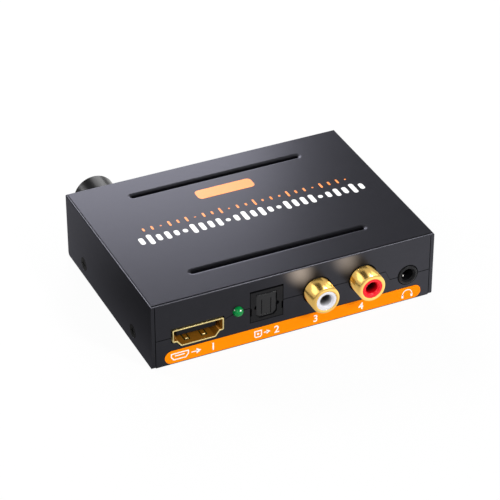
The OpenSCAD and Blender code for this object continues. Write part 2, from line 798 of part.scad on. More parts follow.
// Optical port: a housing, a flap hung on a pin across its top, and the light source behind it
hinge_y = shutter_inset + shutter_t / 2;
hinge_z = cavity_z + cavity_h - shutter_t / 2 - 2 * shutter_clear;
optical_step_y = sheet_t + board_end_gap;
guide_r = cavity_w / 4.5;
emitter_w = cavity_w * 0.85;
emitter_y = cavity_l + guide_r;
module optical_housing() {
    notch_z = cavity_z + cavity_h * 0.47;
    color(black_plastic) at_face(optical_x) difference() {
        union() {
            centred_block(optical_w, 0, optical_step_y + over, optical_nose_z, optical_h);
            centred_block(optical_w, optical_step_y, optical_l, 0, optical_h);
        }
        into(-over, cavity_l) polygon(cavity_outline());
        rod(notch_z, cavity_l - over, emitter_y + over, guide_r);
        centred_block(emitter_w + 4 * fit, emitter_y, optical_l + over,
            -over, notch_z + emitter_w / 2 + 2 * fit);
        for (side = [-1, 1]) {
            translate([side * cavity_w / 2, 0, 0]) rod(notch_z, -over, shutter_t, cavity_corner * 0.68);
            translate([side * optical_w / 2, 0, 0])
                centred_block(2 * shutter_inset, -over, sheet_t, notch_z - cavity_h * 0.31, notch_z);
        }
        translate([-cavity_w / 2 - cavity_corner, hinge_y, hinge_z]) rotate([0, 90, 0])
            cylinder(h = cavity_w + 2 * cavity_corner, r = shutter_pin_r + fit / 2);
    }
}
module optical_shutter() {
    flap = grown(cavity_outline(), -shutter_clear);
    flap_w = cavity_w - 2 * shutter_clear;
    panel_w = cavity_w * 0.45;
    panel_z = cavity_z + 2 * shutter_clear;
    panel_top = cavity_z + cavity_h * 0.72;
    groove = shutter_t / 3;
    color("#1f1f21") at_face(optical_x) difference() {
        union() {
            intersection() {
                into(hinge_y - shutter_t / 2, hinge_y + shutter_t / 2) polygon(flap);
                centred_block(cavity_w, 0, cavity_l, cavity_z, hinge_z);
            }
            translate([-flap_w / 2, hinge_y, hinge_z]) rotate([0, 90, 0])
                cylinder(h = flap_w, r = shutter_t / 2);
            centred_block(flap_w, 0, hinge_y, hinge_z, hinge_z + shutter_t / 2);
        }
        translate([-cavity_w / 2, hinge_y, hinge_z]) rotate([0, 90, 0])
            cylinder(h = cavity_w, r = shutter_pin_r + fit);
        for (side = [-1, 1])
            translate([side * panel_w / 2, 0, 0])
                centred_block(groove, 0, shutter_inset + groove, panel_z + groove, panel_top);
        centred_block(panel_w + groove, 0, shutter_inset + groove, panel_z + groove, panel_z + 2 * groove);
    }
}
module shutter_pin() {
    color(nickel) at_face(optical_x)
        translate([fit - cavity_w / 2 - cavity_corner, hinge_y, hinge_z]) rotate([0, 90, 0])
            cylinder(h = cavity_w + 2 * cavity_corner - 2 * fit, r = shutter_pin_r);
}
module optical_emitter() {
    middle = cavity_z + cavity_h * 0.47;
    back = optical_l - 2 * fit;
    color("#3a2326") at_face(optical_x) {
        centred_block(emitter_w, emitter_y + fit, back, middle - emitter_w / 2, middle + emitter_w / 2);
        rod(middle, cavity_l + fit, emitter_y + 2 * fit, guide_r - fit);
        for (i = [-1, 0, 1])
            translate([i * emitter_w / 4, 0, 0])
                centred_block(strip_t * 2, back - 2 * strip_t, back - strip_t,
                    0, middle - emitter_w / 2 + fit);
    }
}

// Phono sockets: collars, coloured insulators and split centre contacts in one moulded block
collar_neck_r = collar_r - collar_lip_r / 2;
collar_flange_r = collar_r + collar_lip_r;
flange_y = sheet_t + seam;
tube_wall = collar_lip_r / 2;
tube_back = 1.25 * collar_l + flange_y;
phono_block_y = flange_y + tube_wall;
phono_block_l = phono_block_y + 1.75 * collar_l;
phono_block_h = 2 * phono_axis;
phono_tail_y = phono_block_l + 2 * strip_t;
contact_wall = phono_hole_r / 4;
insulator_r = collar_bore_r - fit;
insulator_out = collar_l - 5 * fit;
module phono_collar() {
    chamfer = collar_lip_r * 0.35;
    start = 3 * fit;
    bore = collar_bore_r;
    color(gold) {
        turned_out(phono_axis) difference() {
            union() {
                translate([bore, start]) square([collar_r - bore, collar_l - collar_lip_r - start]);
                translate([bore, collar_l - 2 * collar_lip_r])
                    square([collar_r - collar_lip_r - bore, 2 * collar_lip_r]);
                translate([collar_r - collar_lip_r, collar_l - collar_lip_r]) circle(r = collar_lip_r);
                translate([bore, -flange_y]) square([collar_neck_r - bore, flange_y + start + fit]);
                translate([bore, -flange_y - tube_wall]) square([collar_flange_r - bore, tube_wall]);
                translate([bore, -tube_back]) square([tube_wall, tube_back]);
            }
            polygon([[bore - over, collar_l + over], [bore - over, collar_l - chamfer - over],
                [bore + chamfer + over, collar_l + over]]);
            translate([bore - 2 * collar_lip_r, -tube_back - over])
                square([2 * collar_lip_r, tube_back + collar_l + 2 * over]);
        }
        centred_block(bore, flange_y, flange_y + tube_wall, 0, phono_axis - collar_r);
    }
}
module phono_insulator(tint) {
    mouth = collar_lip_r * 0.6;
    color(tint) turned_out(phono_axis) polygon([
        [phono_hole_r + mouth, insulator_out], [insulator_r, insulator_out], [insulator_r, fit - tube_back],
        [2 * lead_r, fit - tube_back], [2 * lead_r, tube_wall - tube_back],
        [phono_hole_r + contact_wall + fit, tube_wall - tube_back],
        [phono_hole_r + contact_wall + fit, collar_l / 3], [phono_hole_r, collar_l / 3],
        [phono_hole_r, insulator_out - mouth]
    ]);
}
module phono_contact() {
    back = tube_back - tube_wall;
    outer = phono_hole_r + contact_wall;
    inner = phono_hole_r - fit;
    color(gold) {
        difference() {
            union() {
                turned_out(phono_axis) polygon([
                    [inner, collar_l / 3 - fit], [outer, collar_l / 3 - fit], [outer, fit - back],
                    [0, fit - back], [0, tube_wall - back], [inner, tube_wall - back]
                ]);
                rod(phono_axis, back - tube_wall, phono_tail_y, 2 * lead_r - fit);
            }
            for (turn = [0, 90])
                translate([0, 0, phono_axis]) rotate([0, turn, 0])
                    block(-outer - over, outer + over, -collar_l / 3 - over, collar_l / 2, -lead_r, lead_r);
        }
        phono_pin() lead_post(phono_axis);
    }
}
module phono_pin() {
    translate([0, phono_tail_y, 0]) children();
}
module phono_block() {
    half = phono_pitch / 2 + collar_flange_r + tube_wall;
    color(black_plastic) at_face(phono_x) difference() {
        block(-half, half, phono_block_y, phono_block_l, 0, phono_block_h);
        for (side = [-1, 1])
            translate([side * phono_pitch / 2, 0, 0]) {
                rod(phono_axis, phono_block_y - over, tube_back + fit, collar_bore_r + tube_wall + fit);
                rod(phono_axis, tube_back, phono_block_l + over, 2 * lead_r);
            }
        for (y = [phono_block_y + collar_l * 0.55, phono_block_l - collar_l * 0.55])
            centred_block(collar_lip_r * 4, y, y + collar_lip_r, -over, phono_block_h + over);
    }
}
module phono_left_collar() {
    at_face(phono_x - phono_pitch / 2) phono_collar();
}
module phono_right_collar() {
    at_face(phono_x + phono_pitch / 2) phono_collar();
}
module phono_left_insulator() {
    at_face(phono_x - phono_pitch / 2) phono_insulator("#f2f2f4");
}
module phono_right_insulator() {
    at_face(phono_x + phono_pitch / 2) phono_insulator("#ff2733");
}
module phono_left_contact() {
    at_face(phono_x - phono_pitch / 2) phono_contact();
}
module phono_right_contact() {
    at_face(phono_x + phono_pitch / 2) phono_contact();
}

// Headphone socket: a round nose in front of a body with a contact chamber
jack_body_y = sheet_t + jack_clear;
jack_back = jack_body_y + jack_l;
jack_wall = (jack_h - 2 * jack_bore_r) / 4;
jack_chamber_y = jack_body_y + 2 * jack_bore_r;
leaf_ys = [for (i = [0:2]) jack_chamber_y + jack_wall + i * jack_l / 5];
module headphone_body() {
    round_r = (jack_nose_r - jack_bore_r) / 2.4;
    color(black_plastic) at_face(jack_x) difference() {
        union() {
            turned_out(jack_axis) {
                translate([0, -jack_body_y - over])
                    square([jack_nose_r, jack_body_y + jack_proud - round_r + over]);
                square([jack_nose_r - round_r, jack_proud]);
                translate([jack_nose_r - round_r, jack_proud - round_r]) circle(r = round_r);
            }
            centred_block(jack_w, jack_body_y, jack_back, 0, jack_h);
        }
        rod(jack_axis, -jack_proud - over, jack_chamber_y + over, jack_bore_r);
        translate([0, -jack_proud - fit, jack_axis]) rotate([-90, 0, 0])
            cylinder(h = round_r * 1.4, r1 = jack_bore_r + round_r, r2 = jack_bore_r);
        rod(jack_axis, jack_chamber_y, jack_back + over, jack_bore_r * 0.7);
        centred_block(jack_w - 2 * jack_wall, jack_chamber_y, jack_back - jack_wall * 2,
            jack_wall, jack_h - jack_wall);
        for (y = leaf_ys)
            for (side = [-1, 1])
                translate([side * (jack_w / 2 - jack_wall - strip_t / 2), 0, 0])
                    centred_block(strip_t + 2 * fit, y - fit, y + 4 * strip_t + fit, -over, 2 * jack_wall);
        sleeve_block(jack_bore_r, fit);
    }
}
// The sleeve contact lies in a slot low on the left of the bore, flush with its wall
module sleeve_block(depth, gap) {
    translate([0, 0, jack_axis]) rotate([0, -45, 0])
        block(-jack_bore_r - 2 * strip_t - gap, depth - jack_bore_r,
            jack_proud - gap, jack_chamber_y - jack_wall + gap,
            -2 * strip_t - gap, 2 * strip_t + gap);
}
module headphone_contacts() {
    color(nickel) at_face(jack_x) {
        difference() {
            sleeve_block(strip_t, 0);
            rod(jack_axis, -over, jack_chamber_y, jack_bore_r + fit / 2);
        }
        for (y = leaf_ys)
            for (side = [-1, 1])
                translate([side * (jack_w / 2 - jack_wall - strip_t / 2), 0, 0])
                    centred_block(strip_t, y, y + 4 * strip_t, 0, jack_axis + jack_bore_r / 2);
    }
}

// Power inlet: a body with a round hole, a centre pin and a spring at the bottom of the hole
inlet_body_y = sheet_t + jack_clear;
inlet_back = inlet_body_y + inlet_l;
inlet_hole_l = inlet_back - 3 * inlet_pin_r;
module inlet_pins() {
    translate([0, inlet_back + lead_r, 0]) children();
}
module inlet_body() {
    slot_w = 2 * inlet_pin_r;
    color(black_plastic) at_rear(inlet_x) difference() {
        union() {
            rod(inlet_axis, -inlet_proud, inlet_body_y + over, inlet_nose_r);
            centred_block(inlet_w, inlet_body_y, inlet_back, 0, inlet_h);
        }
        rod(inlet_axis, -inlet_proud - over, inlet_hole_l, inlet_hole_r);
        rod(inlet_axis, inlet_hole_l - over, inlet_back + over, inlet_pin_r + fit);
        centred_block(slot_w + 2 * fit, inlet_body_y + 2 * inlet_pin_r, inlet_hole_l, -over, inlet_axis);
    }
}
module inlet_pin() {
    color(nickel) at_rear(inlet_x) {
        rod(inlet_axis, inlet_body_y, inlet_back + 2 * lead_r, inlet_pin_r);
        translate([0, inlet_body_y, inlet_axis]) sphere(r = inlet_pin_r);
        inlet_pins() lead_post(inlet_axis);
    }
}
module inlet_spring() {
    slot_w = 2 * inlet_pin_r;
    top = inlet_axis - inlet_hole_r;
    color(nickel) at_rear(inlet_x) {
        centred_block(slot_w, inlet_body_y + 3 * inlet_pin_r, inlet_hole_l - fit, top - strip_t, top);
        centred_block(slot_w, inlet_hole_l - fit - strip_t, inlet_hole_l - fit, 0, top);
    }
}

// Mode switch: a metal frame, a base with its terminals and a lever that slides along the face
switch_y = sheet_t + seam;
slider_w = switch_w - 2 * (switch_t + lever_travel + lever_clear);
slider_h = switch_h - 2 * (switch_t + lever_clear);
slider_y = switch_y + switch_t + lever_clear;
slider_t = switch_l / 2 - lever_clear;
module switch_frame() {
    color(nickel) at_rear(switch_x) difference() {
        centred_block(switch_w, switch_y, switch_y + switch_l, 0, switch_h);
        centred_block(switch_w - 2 * switch_t, switch_y + switch_t, switch_y + switch_l + over,
            -over, switch_h - switch_t);
        centred_block(lever_w + 2 * (lever_travel + lever_clear), switch_y - over, switch_y + switch_t + over,
            switch_axis - lever_h / 2 - lever_clear, switch_axis + lever_h / 2 + lever_clear);
    }
}
module switch_base() {
    back = switch_y + switch_l;
    front = slider_y + slider_t + lever_clear;
    color("#3c2b1f") at_rear(switch_x)
        centred_block(switch_w - 2 * switch_t - 2 * fit, front, back, 0, switch_h - switch_t - fit);
    color(nickel) at_rear(switch_x)
        for (i = [-1.5, -0.5, 0.5, 1.5])
            translate([i * lever_w, 0, 0]) {
                centred_block(lead_r * 2, back, back + strip_t, 0, switch_axis);
                centred_block(lead_r * 2, back, back + 4 * strip_t, 0, strip_t);
            }
}
module switch_lever() {
    ridge = lever_h / 6;
    color("#202022") at_rear(switch_x) translate([0, 0, switch_axis]) {
        centred_block(slider_w, slider_y, slider_y + slider_t, -slider_h / 2, slider_h / 2);
        difference() {
            centred_block(lever_w, -lever_proud, slider_y + fit, -lever_h / 2, lever_h / 2);
            for (i = [-1, 0, 1])
                translate([i * lever_w / 3, 0, 0])
                    centred_block(ridge, -lever_proud - over, ridge - lever_proud, -lever_h, lever_h);
        }
    }
}

// Volume control: a cased potentiometer, its shaft and wiper, the panel nut and the knob
pot_y = sheet_t + seam;
pot_back = pot_y + pot_plate_t + pot_l;
wiper_r = pot_w * 0.42;
shaft_thin_r = shaft_r * 0.6;
wiper_y = pot_y + pot_plate_t + seam;
knob_front = -knob_gap - knob_l;
knob_recess_y = -bushing_out - knob_gap;
shaft_end = knob_front + 2 * knob_bevel + knob_gap;
flat_x = shaft_r * 0.5;
pointer_w = knob_r * 0.13;
pointer_l = knob_r * 0.62;
module pot_pins() {
    for (i = [-1, 0, 1])
        translate([i * pot_w / 4, pot_back + lead_r, 0]) children();
}
module pot_case() {
    color("#28282b") at_rear(pot_x) difference() {
        centred_block(pot_w, pot_y + pot_plate_t, pot_back, 0, pot_h);
        rod(pot_axis, pot_y, pot_back - pot_plate_t, wiper_r + lever_clear);
    }
    color(nickel) at_rear(pot_x) pot_pins() lead_post(pot_axis / 2);
}
module pot_bushing() {
    color("#a8a8ac") at_rear(pot_x) difference() {
        union() {
            centred_block(pot_w, pot_y, pot_y + pot_plate_t, 0, pot_h);
            rod(pot_axis, -bushing_out, pot_y + fit, bushing_r);
        }
        rod(pot_axis, -bushing_out - over, pot_y + pot_plate_t + over, shaft_r + shaft_clear);
    }
}
module pot_wiper() {
    color("#d8d2c0") at_rear(pot_x) difference() {
        rod(pot_axis, wiper_y, wiper_y + pot_plate_t, wiper_r);
        rod(pot_axis, wiper_y - over, wiper_y + pot_plate_t + over, shaft_thin_r + fit / 2);
    }
}
module volume_shaft() {
    color("#c7c7ca") at_rear(pot_x) difference() {
        union() {
            rod(pot_axis, shaft_end, wiper_y - fit, shaft_r);
            rod(pot_axis, wiper_y - 2 * fit, wiper_y + 3 * pot_plate_t, shaft_thin_r);
        }
        block(flat_x, shaft_r + over, shaft_end - over, -bushing_out - fit, 0, 2 * pot_axis);
    }
}
module panel_washer() {
    color(nickel) at_rear(pot_x) difference() {
        rod(pot_axis, -washer_t, 0, nut_af / 2);
        rod(pot_axis, -washer_t - over, over, bushing_r + fit);
    }
}
module panel_nut() {
    color(nickel) at_rear(pot_x) difference() {
        translate([0, -washer_t, pot_axis]) rotate([90, 0, 0])
            cylinder(h = nut_t, r = nut_af / sqrt(3), $fn = 6);
        rod(pot_axis, -washer_t - nut_t - over, over, bushing_r + fit);
    }
}
module volume_knob() {
    color("#1d1d1f") at_rear(pot_x) difference() {
        turned_out(pot_axis) polygon([
            [0, knob_gap], [knob_r - knob_bevel / 2, knob_gap], [knob_r, knob_gap + knob_bevel / 2],
            [knob_r, -knob_front - knob_bevel], [knob_r - knob_bevel, -knob_front],
            [knob_r - 2 * knob_bevel, -knob_front], [knob_r - 3 * knob_bevel, -knob_front - knob_bevel / 2],
            [0, -knob_front - knob_bevel / 2]
        ]);
        rod(pot_axis, knob_recess_y, over, knob_r - knob_skirt_t);
        difference() {
            rod(pot_axis, shaft_end - knob_bevel / 2, knob_recess_y + over, shaft_r + fit / 2);
            block(flat_x + fit / 2, knob_r, knob_front, 0, 0, 2 * pot_axis);
        }
        translate([0, knob_front + knob_bevel / 2, pot_axis]) knob_mark(fit / 2);
    }
}
// The white line on the knob's outer end, pointing up at the middle of its travel
module knob_mark(gap) {
    depth = knob_bevel / 2;
    reach = knob_r - 3 * knob_bevel - fit;
    centred_block(pointer_w + 2 * gap, gap > 0 ? -over : 0, depth + gap, reach - pointer_l - gap, reach);
}
module knob_pointer() {
    color("#f4f4f4") at_rear(pot_x) translate([0, knob_front + knob_bevel / 2, pot_axis]) knob_mark(0);
}

// Parts on the board, placed by shares of the board's size from its centre
chip_place_share = [-0.1, -0.02];
converter_place_share = [0.14, -0.08];
amplifier_place_share = [0.36, -0.03];
controller_place_share = [0.06, 0.13];
crystal_place_share = [-0.06, 0.16];
regulator_place_share = [-0.36, -0.02];
can_place_shares = [[-0.265, 0.17], [-0.355, 0.17], [0.26, -0.09], [0.26, 0.08]];
coil_place_shares = [[-0.27, -0.12], [-0.27, 0.03]];
ceramic_place_shares = [
    for (x = [-0.18, -0.14, -0.1, -0.06, -0.02]) [x, -0.19],
    for (y = [-0.14, -0.1, -0.06, -0.02]) [0.035, y],
    for (x = [-0.18, -0.14]) [x, 0.135],
    for (x = [0.22, 0.26, 0.3]) [x, 0.17],
    for (y = [-0.16, -0.12]) [0.36, y]
];
resistor_place_shares = [
    for (y = [-0.14, -0.1, -0.06, -0.02]) [0.2, y],
    for (y = [-0.06, 0, 0.06]) [-0.43, y],
    for (x = [-0.18, -0.14]) [x, 0.17],
    for (x = [0.02, 0.06, 0.1]) [x, 0.22],
    for (y = [0.04, 0.08]) [0.155, y],
    for (y = [0.06, 0.1]) [0.36, y]
];
module on_board(share) {
    translate([share[0] * board_w, share[1] * board_d, board_top]) children();
}
// A chip package with legs on two or on four sides
module chip(w, d, h, legs, sides) {
    foot = h / 2;
    pitch = d / (legs + 1);
    color("#1b1b1d") translate([-w / 2, -d / 2, h / 10]) cube([w, d, h - h / 10]);
    color(nickel)
        for (turn = sides)
            rotate([0, 0, turn])
                for (i = [1:legs])
                    translate([w / 2, i * pitch - d / 2 - pitch / 4, 0]) {
                        cube([foot, pitch / 2, h / 6]);
                        translate([-h / 10, 0, 0]) cube([h / 5, pitch / 2, h / 2]);
                    }
}
module extractor_chip() {
    on_board(chip_place_share) chip(chip_w, chip_w, chip_h, 12, [0, 90, 180, 270]);
}
module chip_heatsink() {
    base = sink_h / 4;
    fins = 5;
    fin_pitch = (sink_w - base / 2) / (fins - 1);
    color("#2b2b2e") on_board(chip_place_share) translate([0, 0, chip_h]) {
        translate([-sink_w / 2, -sink_w / 2, 0]) cube([sink_w, sink_w, base]);
        for (i = [0:fins - 1])
            translate([-sink_w / 2 + i * fin_pitch, -sink_w / 2, 0]) cube([base / 2, sink_w, sink_h]);
    }
}
module converter_chip() {
    on_board(converter_place_share) chip(chip_w * 0.4, chip_w * 0.9, chip_h, 7, [0, 180]);
}
module amplifier_chip() {
    on_board(amplifier_place_share) chip(chip_w * 0.4, chip_w * 0.5, chip_h, 4, [0, 180]);
}
module controller_chip() {
    on_board(controller_place_share) chip(chip_w * 0.6, chip_w * 0.6, chip_h, 7, [0, 90, 180, 270]);
}
module crystal_can() {
    color(nickel) on_board(crystal_place_share) {
        centred_block(chip_w * 0.5, -chip_w * 0.16, chip_w * 0.16, 0, chip_h * 1.2);
    }
}
module capacitor_bases() {
    side = 2 * can_r * 1.04;
    color("#161618")
        for (share = can_place_shares)
            on_board(share) translate([-side / 2, -side / 2, 0]) cube([side, side, can_h / 8]);
}
module capacitor_cans() {
    color("#c9c9ce")
        for (share = can_place_shares)
            on_board(share) translate([0, 0, can_h / 8]) {
                cylinder(h = can_h * 0.8, r = can_r);
                translate([0, 0, can_h * 0.8]) cylinder(h = can_h * 0.075, r1 = can_r, r2 = can_r * 0.9);
            }
}
module power_inductors() {
    color("#4a4a4e")
        for (share = coil_place_shares)
            on_board(share) {
                translate([-coil_w / 2, -coil_w / 2, 0]) cube([coil_w, coil_w, coil_h / 6]);
                cylinder(h = coil_h, r = coil_w * 0.45);
            }
}
module voltage_regulator() {
    on_board(regulator_place_share) chip(chip_w * 0.35, chip_w * 0.65, chip_h * 1.6, 3, [0, 180]);
}
module specks(shares, w, h) {
    for (share = shares)
        on_board(share) translate([-speck_l / 2, -w / 2, 0]) cube([speck_l, w, h]);
}
module ceramic_capacitors() {
    color("#b08a5a") specks(ceramic_place_shares, speck_l / 2, speck_l / 2);
}
module chip_resistors() {
    color("#26262a") specks(resistor_place_shares, speck_l / 2, speck_l / 4);
}

top_cover();
bottom_chassis();
case_screws();
port_label();
rear_label();
insulating_sheet();
board_standoffs();
board_screws();
main_board();
video_out_shell();
video_out_tongue();
video_out_contacts();
video_in_shell();
video_in_tongue();
video_in_contacts();
status_lamp();
lamp_leads();
optical_housing();
optical_shutter();
shutter_pin();
optical_emitter();
phono_block();
phono_left_collar();
phono_right_collar();
phono_left_insulator();
phono_right_insulator();
phono_left_contact();
phono_right_contact();
headphone_body();
headphone_contacts();
inlet_body();
inlet_pin();
inlet_spring();
switch_frame();
switch_base();
switch_lever();
pot_case();
pot_bushing();
pot_wiper();
volume_shaft();
panel_washer();
panel_nut();
volume_knob();
knob_pointer();
extractor_chip();
chip_heatsink();
converter_chip();
amplifier_chip();
controller_chip();
crystal_can();
capacitor_cans();
capacitor_bases();
power_inductors();
voltage_regulator();
ceramic_capacitors();
chip_resistors();
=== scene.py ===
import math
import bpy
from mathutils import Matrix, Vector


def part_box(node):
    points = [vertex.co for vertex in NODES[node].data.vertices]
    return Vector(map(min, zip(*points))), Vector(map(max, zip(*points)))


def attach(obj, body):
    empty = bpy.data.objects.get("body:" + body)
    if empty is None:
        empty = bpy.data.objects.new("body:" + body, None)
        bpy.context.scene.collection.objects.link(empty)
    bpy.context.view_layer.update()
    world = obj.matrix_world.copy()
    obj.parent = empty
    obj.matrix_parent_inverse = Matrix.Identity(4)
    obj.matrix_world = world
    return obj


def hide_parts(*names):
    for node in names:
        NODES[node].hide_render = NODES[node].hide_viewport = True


bl_info = {
    "name": "Audio extractor box",
    "version": (1, 0, 0),
    "blender": (4, 5, 0),
    "location": "3D View > Sidebar > Extractor",
    "description": "Dresses the audio extractor's solids, adds its prints and turned parts, and sets the studio",
    "category": "Object",
}

import bmesh
import bpy
from bpy.props import FloatProperty, FloatVectorProperty, IntProperty, PointerProperty
from bpy.types import Operator, Panel, PropertyGroup
from mathutils import Matrix, Vector

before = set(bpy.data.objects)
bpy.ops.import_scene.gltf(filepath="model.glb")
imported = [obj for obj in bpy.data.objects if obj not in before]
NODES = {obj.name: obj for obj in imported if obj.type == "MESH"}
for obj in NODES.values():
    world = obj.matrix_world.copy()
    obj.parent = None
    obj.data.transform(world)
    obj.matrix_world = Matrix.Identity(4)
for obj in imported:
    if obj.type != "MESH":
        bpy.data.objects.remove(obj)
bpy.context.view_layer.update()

MM = 0.001
# Points closer than this are one point, and edges sharper than this angle stay crisp
WELD = 0.0005 * MM
SHARP = math.radians(35)


def linear(code):
    """A six-figure sRGB hex colour as linear red, green and blue."""
    parts = [int(code[i:i + 2], 16) / 255 for i in (0, 2, 4)]
    return [v / 12.92 if v <= 0.04045 else ((v + 0.055) / 1.055) ** 2.4 for v in parts]


def rgba(colour):
    return (*colour, 1.0)


# ---------------------------------------------------------------- sizes and colours

def length(name, text, mm, low=0.0):
    return FloatProperty(name=name, description=text, default=mm * MM, min=low * MM, unit="LENGTH",
                         subtype="DISTANCE", precision=5)


def share(name, text, value):
    return FloatProperty(name=name, description=text, default=value, min=0.0, max=1.0, subtype="FACTOR")


def tone(name, text, code):
    return FloatVectorProperty(name=name, description=text, default=linear(code), min=0.0, max=1.0, size=3,
                               subtype="COLOR")


class CaseSettings(PropertyGroup):
    paint: tone("Paint", "Colour of the powder coat", "2b2b2f")
    screw: tone("Screws", "Colour of the blackened screws", "0b0b0c")
    grain: length("Grain", "Size of one grain of the powder coat's skin", 0.30)
    gloss: share("Roughness", "Roughness of the powder coat", 0.30)


class PrintSettings(PropertyGroup):
    label: tone("Label", "Colour of the label strips", "ff8a00")
    ink: tone("Ink", "Colour of the white print", "f2f2f2")
    proud: length("Ink height", "How far the print stands off what it is printed on", 0.03)
    figure: length("Figure height", "Height of the figures beside the sockets", 2.3)
    stroke: length("Stroke", "Width of the lines of the port pictures", 0.32)
    bar_pitch: length("Bar pitch", "From one level bar to the next", 2.6)
    bars: IntProperty(name="Bars", description="Level bars in the row", default=27, min=3)


class MetalSettings(PropertyGroup):
    collar: tone("Collar gold", "Bright gold plating of the phono collars", "cfa95e")
    shell: tone("Shell gold", "Pale gold flash of the video sockets", "dcc98c")
    nickel: tone("Nickel", "Nickel plating of pins, springs and screws", "c4c2be")


class PlasticSettings(PropertyGroup):
    black: tone("Black", "Moulded black plastic", "101012")
    left: tone("Left ring", "Insulator of the left phono socket", "d8d8de")
    right: tone("Right ring", "Insulator of the right phono socket", "ee0a20")
    lamp: tone("Lamp", "Tinted resin of the status lamp", "06843e")


class StudioSettings(PropertyGroup):
    key: FloatProperty(name="Key", description="Radiance of the lamps behind the box", default=14.0, min=0.0)
    fill: FloatProperty(name="Fill", description="Radiance that the front lamps are set from", default=5.0,
                        min=0.0)
    sky: FloatProperty(name="Sky", description="Strength of the world on matt surfaces", default=0.25, min=0.0)
    lens: FloatProperty(name="Lens", description="Focal length of the camera in millimetres", default=168.1,
                        min=1.0)


GROUPS = {"extractor_case": CaseSettings, "extractor_print": PrintSettings, "extractor_metal": MetalSettings,
          "extractor_plastic": PlasticSettings, "extractor_studio": StudioSettings}


# ---------------------------------------------------------------- materials

def add(tree, kind, inputs=None, **settings):
    """Adds a node, gives it its settings, and sets or links its sockets."""
    node = tree.nodes.new(kind)
    for key, value in settings.items():
        setattr(node, key, value)
    for key, value in (inputs or {}).items():
        if isinstance(value, bpy.types.NodeSocket):
            tree.links.new(value, node.inputs[key])
        else:
            node.inputs[key].default_value = value
    return node


def finish_of(name, colour, rough, metallic=0.0, grain=0.4, depth=0.0, drift=0.06, soften=0.0, lean=0.0,
              **sockets):
    """A Principled surface. Its colour and roughness drift by a share over patches ten grains wide, the grain
    itself is a bump of a depth in mm, and soften rounds the solid's edges by a radius in mm for the light only.
    Lean turns the light's normal towards -y, as the flanks of fine turned rings do."""
    if name in bpy.data.materials:
        return bpy.data.materials[name]
    material = bpy.data.materials.new(name)
    material.use_nodes = True
    tree = material.node_tree
    surface = tree.nodes["Principled BSDF"]
    place = add(tree, "ShaderNodeTexCoord").outputs["Object"]
    patch = add(tree, "ShaderNodeTexNoise", {"Vector": place, "Scale": 1 / (10 * grain * MM), "Detail": 3.0})
    mixed = add(tree, "ShaderNodeMix", {0: patch.outputs["Fac"], 6: rgba(v * (1 - drift) for v in colour),
                                        7: rgba(min(1, v * (1 + drift)) for v in colour)}, data_type="RGBA")
    spread = add(tree, "ShaderNodeMapRange", {"Value": patch.outputs["Fac"], "To Min": rough * (1 - drift),
                                              "To Max": rough * (1 + drift)})
    tree.links.new(mixed.outputs[2], surface.inputs["Base Color"])
    tree.links.new(spread.outputs[0], surface.inputs["Roughness"])
    surface.inputs["Metallic"].default_value = metallic
    normal = None
    if soften:
        normal = add(tree, "ShaderNodeBevel", {"Radius": soften * MM}, samples=4).outputs[0]
    if depth:
        skin = add(tree, "ShaderNodeTexNoise", {"Vector": place, "Scale": 1 / (grain * MM), "Detail": 2.0})
        bump = add(tree, "ShaderNodeBump", {"Height": skin.outputs["Fac"], "Distance": depth * MM})
        if normal:
            tree.links.new(normal, bump.inputs["Normal"])
        normal = bump.outputs[0]
    if normal:
        tree.links.new(normal, surface.inputs["Normal"])
    for key, value in sockets.items():
        surface.inputs[key.replace("_", " ")].default_value = value
    if lean:
        facing = add(tree, "ShaderNodeNewGeometry").outputs["Normal"]
        tipped = add(tree, "ShaderNodeVectorMath", {0: facing, 1: (0, -lean, 0)}, operation="ADD")
        unit = add(tree, "ShaderNodeVectorMath", {0: tipped.outputs[0]}, operation="NORMALIZE")
        tree.links.new(unit.outputs[0], surface.inputs["Normal"])
    return material


def powder_coat(case):
    """Satin powder coat on steel: close to black, with a soft sheen that shows the room as a blur."""
    return finish_of("satin_powder_coat", case.paint, case.gloss, metallic=0.85, grain=case.grain / MM,
                     depth=0.003, Specular_Tint=rgba(linear("adadb1")))


def black_oxide(case):
    """Blackened steel: dark, with a dull metal glint on the edges of the recess."""
    return finish_of("black_oxide_steel", case.screw, 0.5, metallic=0.7, grain=0.2, depth=0.002, soften=0.05,
                     Specular_Tint=rgba(linear("959595")))


def label_film(prints):
    """Printed vinyl film: an even, strong orange with a faint sheen."""
    return finish_of("printed_vinyl_film", prints.label, 0.5, grain=0.25, depth=0.001, drift=0.015,
                     Specular_IOR_Level=0.12, Specular_Tint=rgba(linear("ffbc59")))


def white_ink(prints):
    """Screen-printed ink: flat, matt and even."""
    return finish_of("screen_print_white", prints.ink, 0.5, grain=0.15, depth=0.001, drift=0.02)


def orange_ink(prints):
    """The same ink in the label's orange."""
    return finish_of("screen_print_orange", prints.label, 0.5, grain=0.15, depth=0.001, drift=0.02)


def moulded_black(plastic):
    """Moulded black PBT with a fine eroded skin: dark grey where the light rakes it."""
    return finish_of("moulded_pbt_black", plastic.black, 0.45, grain=0.12, depth=0.002, soften=0.08,
                     Specular_IOR_Level=0.12)


def flap_black(plastic):
    """Moulded black ABS, smoother than the housing: its lip and panel edges catch a line of light."""
    return finish_of("moulded_abs_flap", plastic.black, 0.28, grain=0.3, depth=0.001, soften=0.12,
                     Specular_IOR_Level=0.3)


def bright_gold(metal):
    """Bright gold plating over turned brass: bands of light along the axis, as fine turned rings give."""
    return finish_of("gold_plated_turned_brass", metal.collar, 0.2, metallic=1.0, grain=0.5, drift=0.03, lean=1.1)


def pale_gold(metal):
    """Gold flash on pressed steel: paler and less even than the collars."""
    return finish_of("gold_flash_steel", metal.shell, 0.42, metallic=1.0, grain=0.4, drift=0.08, soften=0.08)


